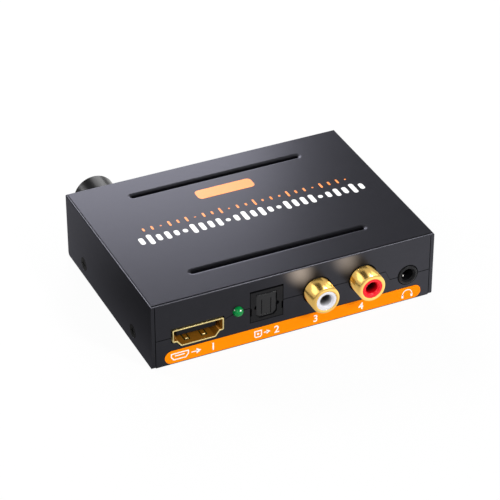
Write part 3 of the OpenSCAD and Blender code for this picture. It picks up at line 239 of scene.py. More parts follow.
def contact_gold(metal):
    """Gold plating over stamped contacts: bright, with softened edges."""
    return finish_of("gold_plated_contacts", metal.collar, 0.2, metallic=1.0, grain=0.2, drift=0.05, soften=0.04)


def nickel_plate(metal):
    """Bright nickel plating: a warm grey mirror, a little uneven."""
    return finish_of("nickel_plate", metal.nickel, 0.22, metallic=1.0, grain=0.3, drift=0.05, soften=0.05)


def shade(material, centre, weights, near, far, colour):
    """Fades a finish's colour into another with the distance from a point, each axis by its weight. The other
    colour is absent at near and full at far, both in mm. It paints highlights and shade into the colour."""
    tree = material.node_tree
    surface = tree.nodes["Principled BSDF"]
    place = add(tree, "ShaderNodeTexCoord").outputs["Object"]
    away = add(tree, "ShaderNodeVectorMath", {0: place, 1: centre}, operation="SUBTRACT")
    flat = add(tree, "ShaderNodeVectorMath", {0: away.outputs[0], 1: weights}, operation="MULTIPLY")
    far_off = add(tree, "ShaderNodeVectorMath", {0: flat.outputs[0]}, operation="LENGTH").outputs["Value"]
    fade = add(tree, "ShaderNodeMapRange", {"Value": far_off, "From Min": near * MM, "From Max": far * MM},
               interpolation_type="SMOOTHSTEP")
    mixed = add(tree, "ShaderNodeMix", {0: fade.outputs[0], 6: surface.inputs["Base Color"].links[0].from_socket,
                                        7: colour}, data_type="RGBA")
    tree.links.new(mixed.outputs[2], surface.inputs["Base Color"])


def plain(name, code, rough, **more):
    """A finish whose colour is a hex value of its own, not a setting."""
    return finish_of(name, linear(code), rough, **more)


# ---------------------------------------------------------------- meshes

def dress(material, *nodes):
    """Gives CAD nodes a material in place of the one they came with."""
    for node in nodes:
        materials = NODES[node].data.materials
        materials.clear()
        materials.append(material)


def merged_copy(node):
    """A CAD node's mesh with its loose triangles joined."""
    bm = bmesh.new()
    bm.from_mesh(NODES[node].data)
    bmesh.ops.remove_doubles(bm, verts=bm.verts, dist=WELD)
    return bm


def place_piece(name, bm, materials, body, replaced=()):
    """Makes a finished mesh a piece of the object and lets it ride on its body."""
    bmesh.ops.remove_doubles(bm, verts=bm.verts, dist=WELD)
    bmesh.ops.recalc_face_normals(bm, faces=bm.faces)
    mesh = bpy.data.meshes.new(name)
    bm.to_mesh(mesh)
    bm.free()
    for face in mesh.polygons:
        face.use_smooth = True
    mesh.set_sharp_from_angle(angle=SHARP)
    for material in materials:
        mesh.materials.append(material)
    made = bpy.data.objects.new(name, mesh)
    bpy.context.scene.collection.objects.link(made)
    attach(made, body)
    if replaced:
        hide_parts(*replaced)
    return made


def bar(bm, centre, size, thick, round_share=0.5):
    """A flat bar with rounded ends on the plane z = 0, drawn in [x, y], thick in +z."""
    half = Vector(size) / 2
    made = bmesh.ops.create_cube(bm, size=1.0)["verts"]
    bmesh.ops.scale(bm, vec=(size[0], size[1], thick), verts=made)
    bmesh.ops.translate(bm, vec=(centre[0], centre[1], thick / 2), verts=made)
    # The ends stop just short of half circles, so that the two bevels of an end never meet
    uprights = {e for v in made for e in v.link_edges if abs(e.verts[0].co.z - e.verts[1].co.z) > thick / 2}
    bmesh.ops.bevel(bm, geom=list(uprights), offset=min(half) * 2 * round_share * 0.98, segments=5, profile=0.5,
                    affect="EDGES", material=-1)


def thicken(bm, faces, thick):
    """Gives flat faces a thickness in +z."""
    raised = bmesh.ops.extrude_face_region(bm, geom=faces, use_keep_orig=True)["geom"]
    bmesh.ops.translate(bm, vec=(0, 0, thick), verts=[v for v in raised if isinstance(v, bmesh.types.BMVert)])


def ring(bm, outline, width, thick):
    """The border of an outline, as wide as given, thick in +z."""
    face = bm.faces.new([bm.verts.new((x, y, 0)) for x, y in outline])
    face.normal_update()
    border = bmesh.ops.inset_region(bm, faces=[face], thickness=width, use_boundary=True,
                                    use_even_offset=True)["faces"]
    bmesh.ops.delete(bm, geom=[face], context="FACES_ONLY")
    thicken(bm, border, thick)


def slab(bm, outline, thick):
    """A flat outline made thick in +z."""
    thicken(bm, [bm.faces.new([bm.verts.new((x, y, 0)) for x, y in outline])], thick)


def figure(bm, text, centre, height, thick):
    """Plain figures centred on a point, thick in +z."""
    letters = bpy.data.curves.new("figure", "FONT")
    letters.body = text
    letters.align_x = "CENTER"
    letters.size = height / 0.7
    letters.extrude = thick / 2
    letters.offset = height * 0.02
    letters.resolution_u = 3
    holder = bpy.data.objects.new("figure", letters)
    bpy.context.scene.collection.objects.link(holder)
    bpy.context.view_layer.update()
    mesh = bpy.data.meshes.new_from_object(holder.evaluated_get(bpy.context.evaluated_depsgraph_get()))
    mesh.transform(Matrix.Translation((centre[0], centre[1] - height / 2, thick / 2)))
    bm.from_mesh(mesh)
    bpy.data.objects.remove(holder)
    bpy.data.meshes.remove(mesh)
    bpy.data.curves.remove(letters)


def arc_band(bm, centre, radius, width, thick, start, end):
    """A band bent round a centre, from one angle to another."""
    inner, outer = radius - width / 2, radius + width / 2
    corners = [bm.verts.new((centre[0] + r, centre[1], z)) for r, z in
               ((inner, 0), (outer, 0), (outer, thick), (inner, thick))]
    face = bm.faces.new(corners)
    bmesh.ops.rotate(bm, cent=(*centre, 0), matrix=Matrix.Rotation(start, 3, "Z"), verts=corners)
    bmesh.ops.spin(bm, geom=[face, *face.edges, *corners], cent=(*centre, 0), axis=(0, 0, 1), angle=end - start,
                   steps=14)


def onto_face(bm, y, turned=False):
    """Stands a flat drawing up on the port face, or turned round on the rear face."""
    bmesh.ops.rotate(bm, cent=(0, 0, 0), matrix=Matrix.Rotation(math.pi / 2, 3, "X"), verts=bm.verts)
    if turned:
        bmesh.ops.rotate(bm, cent=(0, 0, 0), matrix=Matrix.Rotation(math.pi, 3, "Z"), verts=bm.verts)
    bmesh.ops.translate(bm, vec=(0, y, 0), verts=bm.verts)


def print_white(name, bm, prints, y, turned=False):
    """Stands a flat drawing on a label and makes it a piece in white ink."""
    onto_face(bm, y, turned)
    place_piece(name, bm, [white_ink(prints)], "root")


def arrow(bm, tip, size, thick):
    """A small triangle that points along +x."""
    back, half = tip[0] - size, size * 0.62
    slab(bm, [tip, (back, tip[1] + half), (back, tip[1] - half)], thick)


def middle(node):
    """The middle of a CAD node's box."""
    low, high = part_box(node)
    return (low + high) / 2


# ---------------------------------------------------------------- operators

class MakePart:
    """What every step shares: it shows in the history and can be undone."""

    bl_options = {"REGISTER", "UNDO"}


class EXTRACTOR_OT_case(MakePart, Operator):
    """Paints the cover and the chassis and blackens the case screws"""

    bl_idname = "extractor.case"
    bl_label = "Dress the case"

    def execute(self, context):
        case = context.scene.extractor_case
        dress(powder_coat(case), "top_cover", "bottom_chassis")
        dress(black_oxide(case), "case_screws")
        return {"FINISHED"}


# The mouths of two sockets, as the label draws them. Across is in shares of the half width. Up is in shares of the
# height for the video socket and of the half height for the optical port
VIDEO_MOUTH = ((-1, 0.5), (-1, -0.05), (-0.7, -0.5), (0.7, -0.5), (1, -0.05), (1, 0.5))
OPTICAL_MOUTH = ((-1, 1), (-1, -0.6), (-0.6, -1), (0.6, -1), (1, -0.6), (1, 1))


class EXTRACTOR_OT_port_print(MakePart, Operator):
    """Prints the port face's strip: a picture, an arrow and a number for each socket"""

    bl_idname = "extractor.port_print"
    bl_label = "Print the port label"

    def execute(self, context):
        prints = context.scene.extractor_print
        dress(label_film(prints), "port_label", "rear_label")
        low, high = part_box("port_label")
        z = (low.z + high.z) / 2
        tall, line, thick = prints.figure, prints.stroke, prints.proud
        # From the socket's middle in mm: the picture, the arrow's stem and tip, and the number
        picture, stem, tip, number = (middle("video_out_shell").x + step * MM for step in (-5.4, -1.1, 0.9, 4.4))
        half = tall * 1.15
        bm = bmesh.new()
        ring(bm, [(picture + a * half, z + b * tall) for a, b in VIDEO_MOUTH], line, thick)
        bar(bm, (picture, z + 0.08 * tall), (half * 1.1, line), thick)
        arrow(bm, (tip, z), tall * 0.62, thick)
        bar(bm, (stem, z), (tall * 0.8, line), thick)
        figure(bm, "1", (number, z), tall, thick)
        print_white("video_out_legend", bm, prints, low.y)

        picture, stem, tip, number = (middle("optical_housing").x + step * MM for step in (-2.6, -0.3, 1.1, 3.0))
        half = tall / 2
        bm = bmesh.new()
        ring(bm, [(picture + a * half, z + b * half) for a, b in OPTICAL_MOUTH], line, thick)
        bar(bm, (picture, z), (tall * 0.3, tall * 0.3), thick)
        arrow(bm, (tip, z), tall * 0.5, thick)
        bar(bm, (stem, z), (tall * 0.5, line), thick)
        figure(bm, "2", (number, z), tall, thick)
        print_white("optical_legend", bm, prints, low.y)

        for name, node, text in (("phono_left_legend", "phono_left_collar", "3"),
                                 ("phono_right_legend", "phono_right_collar", "4")):
            bm = bmesh.new()
            figure(bm, text, (middle(node).x - 0.4 * MM, z), tall * 0.95, thick)
            print_white(name, bm, prints, low.y)

        # A headband with a cup at each end
        x = middle("headphone_body").x
        radius = tall * 0.62
        bm = bmesh.new()
        arc_band(bm, (x, z - tall * 0.1), radius, line * 0.8, thick, math.radians(-12), math.radians(192))
        for side in (-1, 1):
            bar(bm, (x + side * radius, z - tall * 0.34), (tall * 0.26, tall * 0.52), thick)
        print_white("headphone_legend", bm, prints, low.y)
        return {"FINISHED"}


class EXTRACTOR_OT_rear_print(MakePart, Operator):
    """Prints plain numbers below the controls and sockets of the rear face"""

    bl_idname = "extractor.rear_print"
    bl_label = "Print the rear label"

    def execute(self, context):
        prints = context.scene.extractor_print
        low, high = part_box("rear_label")
        z = (low.z + high.z) / 2
        bm = bmesh.new()
        tall, thick = prints.figure, prints.proud
        for node, text in (("inlet_body", "8"), ("video_in_shell", "7"), ("switch_frame", "6")):
            figure(bm, text, (-middle(node).x, z), tall, thick)
        # Seven bars that rise with the volume
        knob = -middle("volume_knob").x
        for i in range(7):
            size = tall * (0.3 + 0.11 * i)
            bar(bm, (knob + (i - 3) * tall * 0.42, z - tall / 2 + size / 2), (tall * 0.2, size), thick)
        print_white("rear_legend", bm, prints, high.y, turned=True)
        return {"FINISHED"}


class EXTRACTOR_OT_top_print(MakePart, Operator):
    """Prints two rows of level bars and a plain badge between the cover's grooves"""

    bl_idname = "extractor.top_print"
    bl_label = "Print the cover"

    def execute(self, context):
        prints = context.scene.extractor_print
        low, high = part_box("top_cover")
        front = low.y
        thick = prints.proud
        white, orange = bmesh.new(), bmesh.new()
        count, pitch = prints.bars, prints.bar_pitch
        # Each row's distance from the front and its tallest bar. The heights rise and fall as sound does
        white_y, white_tall = front + 30 * MM, 5.4 * MM
        orange_y, orange_tall = front + 35.2 * MM, 3.0 * MM
        for i in range(count):
            x = (i - (count - 1) / 2) * pitch + 1.5 * MM
            level = 0.62 + 0.38 * math.sin(i * 1.7) * math.cos(i * 0.6)
            bar(white, (x, white_y), (pitch * 0.55, white_tall * level), thick)
            level = 0.55 + 0.45 * math.sin(i * 2.3 + 1) * math.cos(i * 0.9)
            if 0 < i < count - 1:
                bar(orange, (x, orange_y), (pitch * 0.24, orange_tall * level), thick)
        badge_at, badge_size = (low.x + 42 * MM, front + 45.2 * MM), (17.5 * MM, 4.6 * MM)
        bar(orange, badge_at, badge_size, thick, 0.3)
        for bm, name, ink, slot in ((white, "cover_print_white", white_ink, "label_figures"),
                                    (orange, "cover_print_orange", orange_ink, "label_orange")):
            bmesh.ops.translate(bm, vec=(0, 0, high.z), verts=bm.verts)
            place_piece(name, bm, [ink(prints)], "root")
        return {"FINISHED"}


class EXTRACTOR_OT_video_ports(MakePart, Operator):
    """Gives the video sockets their gold shells, black tongues and plated contacts"""

    bl_idname = "extractor.video_ports"
    bl_label = "Dress the video sockets"

    def execute(self, context):
        metal, plastic = context.scene.extractor_metal, context.scene.extractor_plastic
        # Inside the mouth the same gold flash gets a darker bronze colour as painted shade, and a rough surface,
        # so it takes the light more like bronze paint than a mirror
        inside = plain("gold_inside_painted_shade", "9a6414", 0.5, metallic=0.35, grain=0.4, drift=0.1)
        for side in ("out", "in"):
            bm = merged_copy(f"video_{side}_shell")
            axis = middle(f"video_{side}_tongue")
            # The faces that look at the tongue are the inside
            for face in bm.faces:
                spot = face.calc_center_median() - axis
                spot.y = 0
                face.material_index = int(face.normal.dot(spot) < -0.1 * MM and abs(face.normal.y) < 0.5)
            place_piece(f"video_{side}_plated", bm, [pale_gold(metal), inside], "root",
                        [f"video_{side}_shell"])
        dress(moulded_black(plastic), "video_out_tongue", "video_in_tongue")
        dress(contact_gold(metal), "video_out_contacts", "video_in_contacts")
        return {"FINISHED"}


class EXTRACTOR_OT_lamp(MakePart, Operator):
    """Gives the status lamp its tinted resin and its leads their plating"""

    bl_idname = "extractor.lamp"
    bl_label = "Dress the status lamp"

    def execute(self, context):
        plastic = context.scene.extractor_plastic
        # Tinted epoxy resin: a deep green body under a clear, mirror-smooth dome
        resin = finish_of("tinted_epoxy_resin", plastic.lamp, 0.08, grain=0.8, drift=0.1, Specular_IOR_Level=0.15)
        # Two white spots are painted into the resin's colour as painted highlights, in place of the ends of the
        # lead
        # frame: their ways from the dome's centre, and their radii in mm
        low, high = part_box("status_lamp")
        radius = (high.x - low.x) / 2
        dome = Vector(((low.x + high.x) / 2, low.y + radius, (low.z + high.z) / 2))
        for way, size in (((-0.73, -0.39, 0.56), 0.42), ((0.15, -0.86, 0.48), 0.28)):
            shade(resin, dome + Vector(way) * radius, (1, 1, 1), size, size * 0.6, rgba(linear("f9fffa")))
        dress(resin, "status_lamp")
        dress(nickel_plate(context.scene.extractor_metal), "lamp_leads")
        return {"FINISHED"}


class EXTRACTOR_OT_optical_port(MakePart, Operator):
    """Gives the optical port its moulded housing, smoother flap, pin and light source"""

    bl_idname = "extractor.optical_port"
    bl_label = "Dress the optical port"

    def execute(self, context):
        plastic = context.scene.extractor_plastic
        dress(moulded_black(plastic), "optical_housing")
        dress(flap_black(plastic), "optical_shutter")
        dress(nickel_plate(context.scene.extractor_metal), "shutter_pin")
        # Clear resin tinted dark red: near black in the shade of the cavity
        dress(plain("dark_red_resin", "3c1418", 0.15, grain=0.5), "optical_emitter")
        return {"FINISHED"}


class EXTRACTOR_OT_phono(MakePart, Operator):
    """Gives the phono sockets their plated collars, coloured insulators and contacts"""

    bl_idname = "extractor.phono"
    bl_label = "Dress the phono sockets"

    def execute(self, context):
        metal, plastic = context.scene.extractor_metal, context.scene.extractor_plastic
        # Behind the panel the collar's flange is given a black finish as painted shade, so the gap round the
        # collar stays dark
        flange_shade = plain("flange_painted_shade", "121210", 0.5, metallic=0.3, grain=0.3)
        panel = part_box("top_cover")[0].y + 0.1 * MM
        for side in ("left", "right"):
            bm = merged_copy(f"phono_{side}_collar")
            for face in bm.faces:
                face.material_index = int(face.calc_center_median().y > panel)
            place_piece(f"{side}_collar_plated", bm, [bright_gold(metal), flange_shade], "root",
                        [f"phono_{side}_collar"])
        # Moulded polypropylene: even and slightly waxy, with little light left deep in the bore
        for side, colour in (("left", plastic.left), ("right", plastic.right)):
            ringed = finish_of(f"moulded_pp_{side}", colour, 0.3, grain=0.4, depth=0.001, drift=0.03, soften=0.1,
                               Specular_IOR_Level=0.25)
            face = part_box(f"phono_{side}_insulator")[0].y
            # The colour darkens with depth into the bore to 12 % of itself: painted shade
            shade(ringed, Vector((0, face, 0)), (0, 1, 0), 0.3, 2.6, rgba(v * 0.12 for v in colour))
            dress(ringed, f"phono_{side}_insulator")
        dress(moulded_black(plastic), "phono_block")
        dress(contact_gold(metal), "phono_left_contact", "phono_right_contact")
        return {"FINISHED"}


class EXTRACTOR_OT_headphone(MakePart, Operator):
    """Gives the headphone socket its moulded body and bright contacts"""

    bl_idname = "extractor.headphone"
    bl_label = "Dress the headphone socket"

    def execute(self, context):
        dress(moulded_black(context.scene.extractor_plastic), "headphone_body")
        nickel = nickel_plate(context.scene.extractor_metal)
        dress(nickel, "headphone_contacts")
        # The dimple of the tip contact, low in the bore on the left: a bead drawn out along the bore
        centre, face = middle("headphone_body"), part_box("headphone_body")[0].y
        leftwards, inwards, down = 1.1 * MM, 1.6 * MM, 0.4 * MM
        bm = bmesh.new()
        bmesh.ops.create_uvsphere(bm, u_segments=24, v_segments=12, radius=0.5 * MM)
        bmesh.ops.scale(bm, vec=(0.8, 1.5, 1.1), verts=bm.verts)
        bmesh.ops.translate(bm, vec=(centre.x - leftwards, face + inwards, centre.z - down), verts=bm.verts)
        place_piece("headphone_dimple", bm, [nickel], "root")
        return {"FINISHED"}


class EXTRACTOR_OT_inlet(MakePart, Operator):
    """Gives the power inlet its moulded body, pin and spring"""

    bl_idname = "extractor.inlet"
    bl_label = "Dress the power inlet"

    def execute(self, context):
        dress(moulded_black(context.scene.extractor_plastic), "inlet_body")
        dress(nickel_plate(context.scene.extractor_metal), "inlet_pin", "inlet_spring")
        return {"FINISHED"}


class EXTRACTOR_OT_switch(MakePart, Operator):
    """Gives the mode switch its plated frame, phenolic base and moulded lever"""

    bl_idname = "extractor.switch"
    bl_label = "Dress the mode switch"

    def execute(self, context):
        dress(nickel_plate(context.scene.extractor_metal), "switch_frame")
        # Phenolic paper board: brown, with a faint fibre in it
        dress(plain("phenolic_board", "4a2c1a", 0.55, grain=0.15, drift=0.2), "switch_base", "pot_wiper")
        dress(flap_black(context.scene.extractor_plastic), "switch_lever")
        return {"FINISHED"}


class EXTRACTOR_OT_volume(MakePart, Operator):
    """Gives the volume control its case, bushing, shaft, nut and anodised knob"""

    bl_idname = "extractor.volume"
    bl_label = "Dress the volume control"

    def execute(self, context):
        metal = context.scene.extractor_metal
        dress(moulded_black(context.scene.extractor_plastic), "pot_case")
        # Die-cast zinc: dull light grey with a fine cast skin
        zinc = plain("die_cast_zinc", "a3a3a6", 0.42, metallic=1.0, grain=0.2, depth=0.003)
        dress(zinc, "pot_bushing", "volume_shaft")
        dress(nickel_plate(metal), "panel_washer", "panel_nut")
        # Black anodised turned aluminium: glossy black with bands of light along the axis
        dress(plain("black_anodised_aluminium", "101011", 0.3, metallic=0.5, grain=0.4, soften=0.1,
                    Specular_IOR_Level=0.12, Specular_Tint=rgba(linear("bcbcbc"))), "volume_knob")
        # Paint filled into a cut line: matt white
        dress(plain("white_inlay", "e6e6e6", 0.5, grain=0.2), "knob_pointer")
        return {"FINISHED"}


class EXTRACTOR_OT_board(MakePart, Operator):
    """Gives the board, its fixings and the parts on it their finishes"""

    bl_idname = "extractor.board"
    bl_label = "Dress the board and its parts"

    def execute(self, context):
        metal, plastic = context.scene.extractor_metal, context.scene.extractor_plastic
        # Solder mask over copper and woven glass: glossy green, uneven where the tracks lie
        dress(plain("solder_mask_green", "12542c", 0.35, grain=0.6, depth=0.004, drift=0.2), "main_board")
        # Vulcanised fibre sheet: stiff, buff, with short fibres
        fibre = plain("insulating_fibre_sheet", "cfc59a", 0.7, grain=0.3, depth=0.004, drift=0.1)
        dress(fibre, "insulating_sheet")
        # Turned brass hexagons: bright yellow metal with soft edges
        dress(plain("turned_brass", "c8a85c", 0.3, metallic=1.0, grain=0.3, soften=0.05), "board_standoffs")
        dress(nickel_plate(metal), "board_screws", "crystal_can")
        # Moulded epoxy: matt, almost black, with a fine grain
        chip = plain("moulded_epoxy", "1d1d1f", 0.5, grain=0.15, depth=0.002, soften=0.05)
        dress(chip, "extractor_chip", "converter_chip", "amplifier_chip", "controller_chip", "voltage_regulator")
        # Black anodised extrusion: a dark sheen along the fins
        dress(plain("anodised_heatsink", "1a1a1d", 0.4, metallic=0.5, grain=0.3, soften=0.08), "chip_heatsink")
        # Drawn aluminium cans: bright and smooth, with a rolled edge
        dress(plain("drawn_aluminium_can", "d2d2d5", 0.25, metallic=1.0, grain=0.4, soften=0.1), "capacitor_cans")
        dress(moulded_black(plastic), "capacitor_bases")
        # Pressed ferrite: dull dark grey with a sandy skin
        dress(plain("moulded_ferrite", "39393b", 0.6, grain=0.12, depth=0.004, soften=0.08), "power_inductors")
        # Fired ceramic: tan, with a slight sheen
        dress(plain("fired_ceramic", "a5794e", 0.4, grain=0.2, soften=0.04), "ceramic_capacitors")
        # Glazed thick film: black and glassy
        dress(plain("glazed_resistor", "202024", 0.25, grain=0.2, soften=0.04), "chip_resistors")
        return {"FINISHED"}


# The camera's axes, and its place in mm from the case's near left corner along those axes. Both were fitted to the
# case's edges in the photograph
RIGHT, UP, BACK = (0.9063, -0.4227, 0.0), (0.2346, 0.5031, 0.8318), (-0.3516, -0.7538, 0.5551)
NEAR_CORNER = (-42.5, -30.8, 0.0)
FROM_CORNER = (26.17, 32.24, 625.14)
SENSOR = 36.0

FLOOR_RADIUS = 4.0
# The share of its light that the paper gives by itself, and the rest is what the lamps and the shadow leave on it
PAPER_GLOW = 0.95
# In reflections the paper's level is this, and it rises along an axis (0 is x, 1 is y) between two places in mm
PAPER_LEVEL = 0.12
PAPER_RISES = ((0, -54, -34, 0.88), (0, -5, 40, 1.2), (1, 0, 60, 0.9))

# Each lamp's name, the point in mm that it faces, its direction, distance and size from there, the setting that
# gives its radiance, and how many times over
LAMPS = (
    ("lamp_rear_left", (0, 0, 20.5), (54.6, 245.9, 99.4), 271, (128, 118), "key", 1),
    ("lamp_rear_edge", (-42, 0, 20), (-0.555, 0.754, 0.351), 400, (120, 120), "key", 1.8),
    ("lamp_left", (0, -30, 10), (-0.60, -0.60, 0.58), 400, (150, 260), "fill", 0.5),
    ("lamp_right", (0, -30, 10), (0.70, -0.5, 0.5), 400, (140, 160), "fill", 0.4),
    ("lamp_front_right", (0, -30, 20), (0.35, -0.75, 0.56), 900, (110, 260), "fill", 12),
    ("lamp_front", (0, -30, 10), (-0.35, -0.75, 0.56), 450, (150, 150), "fill", 0.2),
)

# The pools of warm light: their middle from the collar's in mm, the side from which their lamps face the panel
# (the camera's direction mirrored in it), their distance and size, and the radiance of each in fills
PANEL_FRONT = -30.8
POOL_ACROSS, POOL_UP = -5.3, 8.1
POOL_FROM = (0.3516, -0.7538, -0.5551)
POOL_DISTANCE, POOL_SIZE = 4, 10
POOL_TINT = linear("ffeac8")
POOLS = (("left", 3.3), ("right", 2.1))


def soft_lamp(name, target, direction, distance, size, radiance, colour=(1, 1, 1)):
    """A rectangular lamp of a given radiance that faces a point from a direction and distance in mm."""
    lamp = bpy.data.lights.new(name, "AREA")
    lamp.shape = "RECTANGLE"
    lamp.size, lamp.size_y = (v * MM for v in size)
    lamp.energy = radiance * math.pi * lamp.size * lamp.size_y
    lamp.color = colour
    made = bpy.data.objects.new(name, lamp)
    bpy.context.scene.collection.objects.link(made)
    away = Vector(direction).normalized()
    made.location = Vector(target) * MM + away * distance * MM
    made.rotation_euler = away.to_track_quat("Z", "Y").to_euler()
    return made


class EXTRACTOR_OT_stage(MakePart, Operator):
    """Sets the camera, the world, the pale floor, the lamps and the black cards"""

    bl_idname = "extractor.stage"
    bl_label = "Set the studio"

    def execute(self, context):
        scene, studio = context.scene, context.scene.extractor_studio
        self.set_camera(scene, studio)
        self.set_world(scene, studio)
        self.lay_floor(scene)
        for name, target, direction, distance, size, setting, times in LAMPS:
            soft_lamp(name, target, direction, distance, size, getattr(studio, setting) * times)
        self.hang_cards(scene)
        for side, times in POOLS:
            self.light_pool(side, studio.fill * times)
        scene.view_settings.view_transform = "Standard"
        return {"FINISHED"}

    @staticmethod
    def set_camera(scene, studio):
        camera = bpy.data.cameras.new("camera")
        camera.lens, camera.sensor_width = studio.lens, SENSOR
        camera.clip_start, camera.clip_end = 0.01, 10.0
        holder = bpy.data.objects.new("camera", camera)
        scene.collection.objects.link(holder)
        right, up, back = Vector(RIGHT), Vector(UP), Vector(BACK)
        across, rise, away = FROM_CORNER
        spot = Vector(NEAR_CORNER) + right * across + up * rise + back * away
        turn = Matrix((right, up, back)).transposed().to_4x4()
        holder.matrix_world = Matrix.Translation(spot * MM) @ turn
        scene.camera = holder

    def set_world(self, scene, studio):
        """Matt surfaces get the sky's strength. The camera, metal and glass see plain white."""
        world = bpy.data.worlds.new("studio")
        scene.world = world
        world.use_nodes = True
        tree = world.node_tree
        tree.nodes.clear()
        seen = self.seen_directly(tree)
        dim = add(tree, "ShaderNodeBackground", {"Color": (1, 1, 1, 1), "Strength": studio.sky})
        white = add(tree, "ShaderNodeBackground", {"Color": (1, 1, 1, 1), "Strength": 1.0})
        mixed = add(tree, "ShaderNodeMixShader", {0: seen, 1: dim.outputs[0], 2: white.outputs[0]})
        add(tree, "ShaderNodeOutputWorld", {"Surface": mixed.outputs[0]})

    def lay_floor(self, scene):
        """Pale matt paper that the camera sees nearly white, with part of the object's shadow. In reflections it
        is graded, as by flags: darker at the box's left, brighter at its front right."""
        bm = bmesh.new()
        bmesh.ops.create_circle(bm, cap_ends=True, segments=96, radius=FLOOR_RADIUS)
        mesh = bpy.data.meshes.new("floor")
        bm.to_mesh(mesh)
        bm.free()
        floor = bpy.data.objects.new("floor", mesh)
        scene.collection.objects.link(floor)
        paper = bpy.data.materials.new("pale_paper")
        paper.use_nodes = True
        tree = paper.node_tree
        tree.nodes.clear()
        matt = add(tree, "ShaderNodeBsdfDiffuse", {"Color": rgba(linear("f3f3f3"))})
        place = add(tree, "ShaderNodeTexCoord").outputs["Object"]
        axes = add(tree, "ShaderNodeSeparateXYZ", {0: place}).outputs
        level = PAPER_LEVEL
        for axis, start, end, rise in PAPER_RISES:
            step = add(tree, "ShaderNodeMapRange", {"Value": axes[axis], "From Min": start * MM,
                                                    "From Max": end * MM, "To Max": rise},
                       interpolation_type="SMOOTHSTEP")
            level = add(tree, "ShaderNodeMath", {0: step.outputs[0], 1: level}).outputs[0]
        glossy = add(tree, "ShaderNodeLightPath").outputs["Is Glossy Ray"]
        graded = add(tree, "ShaderNodeMix", {0: glossy, 2: 1.0, 3: level})
        glow = add(tree, "ShaderNodeEmission", {"Color": (1, 1, 1, 1), "Strength": graded.outputs[0]})
        share = add(tree, "ShaderNodeMath", {0: self.seen_directly(tree), 1: PAPER_GLOW}, operation="MULTIPLY")
        mixed = add(tree, "ShaderNodeMixShader", {0: share.outputs[0], 1: matt.outputs[0], 2: glow.outputs[0]})
        add(tree, "ShaderNodeOutputMaterial", {"Surface": mixed.outputs[0]})
        mesh.materials.append(paper)

    @staticmethod
    def hang_cards(scene):
        """Two level black cards that glossy rays alone can see. The one in front of the sockets makes the dark
        band along the collars, and the one overhead makes the dark line above the cover's bright edge."""
        black = bpy.data.materials.new("black_flock")
        black.use_nodes = True
        black.node_tree.nodes["Principled BSDF"].inputs["Base Color"].default_value = rgba(linear("0a0a0a"))
        for name, centre, size in (("black_card", (-6.5, -125, 111), (72, 110)),
                                   ("black_card_over", (20, -20, 111), (150, 70))):
            bm = bmesh.new()
            bmesh.ops.create_grid(bm, x_segments=1, y_segments=1, size=0.5)
            bmesh.ops.scale(bm, vec=(size[0] * MM, size[1] * MM, 1), verts=bm.verts)
            bmesh.ops.translate(bm, vec=Vector(centre) * MM, verts=bm.verts)
            mesh = bpy.data.meshes.new(name)
            bm.to_mesh(mesh)
            bm.free()
            mesh.materials.append(black)
            card = bpy.data.objects.new(name, mesh)
            scene.collection.objects.link(card)
            card.visible_camera = card.visible_diffuse = card.visible_shadow = card.visible_transmission = False

    @staticmethod
    def light_pool(side, radiance):
        """A small lamp for the warm light that a gilt collar throws up the panel beside it. It fades from its
        middle to its rim, and reflections alone see it."""
        axis = middle(f"phono_{side}_collar") / MM
        pool = (axis.x + POOL_ACROSS, PANEL_FRONT, axis.z + POOL_UP)
        made = soft_lamp(f"lamp_glow_{side}", pool, POOL_FROM, POOL_DISTANCE, (POOL_SIZE, POOL_SIZE), radiance,
                         POOL_TINT)
        made.visible_camera = made.visible_diffuse = made.visible_transmission = False
        made.data.use_nodes = True
        tree = made.data.node_tree
        place = add(tree, "ShaderNodeNewGeometry").outputs["Position"]
        away = add(tree, "ShaderNodeVectorMath", {0: place, 1: made.location}, operation="DISTANCE")
        fade = add(tree, "ShaderNodeMapRange", {"Value": away.outputs["Value"], "From Max": POOL_SIZE / 2 * MM,
                                                "To Min": 1.0, "To Max": 0.0}, interpolation_type="SMOOTHSTEP")
        tree.links.new(fade.outputs[0], tree.nodes["Emission"].inputs["Strength"])

    @staticmethod
    def seen_directly(tree):
        """1 for the camera's, glossy and transmitted rays, 0 for the light that reaches matt surfaces."""
        rays = add(tree, "ShaderNodeLightPath").outputs
        both = add(tree, "ShaderNodeMath", {0: rays["Is Camera Ray"], 1: rays["Is Glossy Ray"]}, operation="ADD")
        every = add(tree, "ShaderNodeMath", {0: both.outputs[0], 1: rays["Is Transmission Ray"]}, operation="ADD",
                    use_clamp=True)
        return every.outputs[0]


OPERATORS = (EXTRACTOR_OT_stage, EXTRACTOR_OT_case, EXTRACTOR_OT_port_print, EXTRACTOR_OT_rear_print,
             EXTRACTOR_OT_top_print, EXTRACTOR_OT_video_ports, EXTRACTOR_OT_lamp, EXTRACTOR_OT_optical_port,
             EXTRACTOR_OT_phono, EXTRACTOR_OT_headphone, EXTRACTOR_OT_inlet, EXTRACTOR_OT_switch,
             EXTRACTOR_OT_volume, EXTRACTOR_OT_board)


class EXTRACTOR_PT_panel(Panel):
    """Lists the steps that dress the audio extractor"""

    bl_label = "Extractor"
    bl_idname = "EXTRACTOR_PT_panel"
    bl_space_type = "VIEW_3D"
    bl_region_type = "UI"
    bl_category = "Extractor"

    def draw(self, context):
        for operator in OPERATORS:
            self.layout.operator(operator.bl_idname)
        for name in GROUPS:
            settings = getattr(context.scene, name)
            for key in settings.bl_rna.properties.keys():
                if key not in ("rna_type", "name"):
                    self.layout.prop(settings, key)


def register():
    for name, group in GROUPS.items():
        bpy.utils.register_class(group)
        setattr(bpy.types.Scene, name, PointerProperty(type=group))
    for cls in (*OPERATORS, EXTRACTOR_PT_panel):
        bpy.utils.register_class(cls)


def unregister():
    for cls in reversed((*OPERATORS, EXTRACTOR_PT_panel)):
        bpy.utils.unregister_class(cls)
    for name, group in reversed(GROUPS.items()):
        delattr(bpy.types.Scene, name)
        bpy.utils.unregister_class(group)


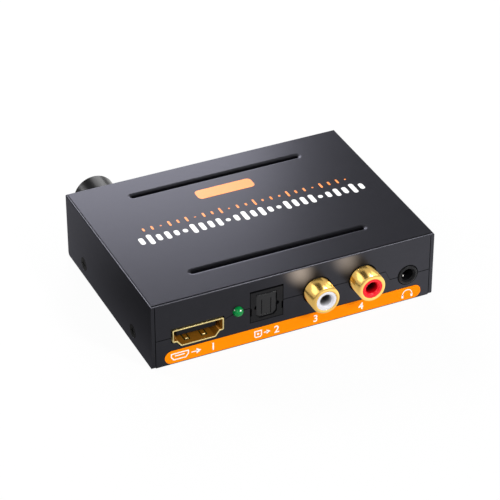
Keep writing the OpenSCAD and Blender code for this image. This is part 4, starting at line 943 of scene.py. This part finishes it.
def main():
    register()
    for operator in OPERATORS:
        group, name = operator.bl_idname.split(".")
        getattr(getattr(bpy.ops, group), name)()


if __name__ == "__main__":
    main()
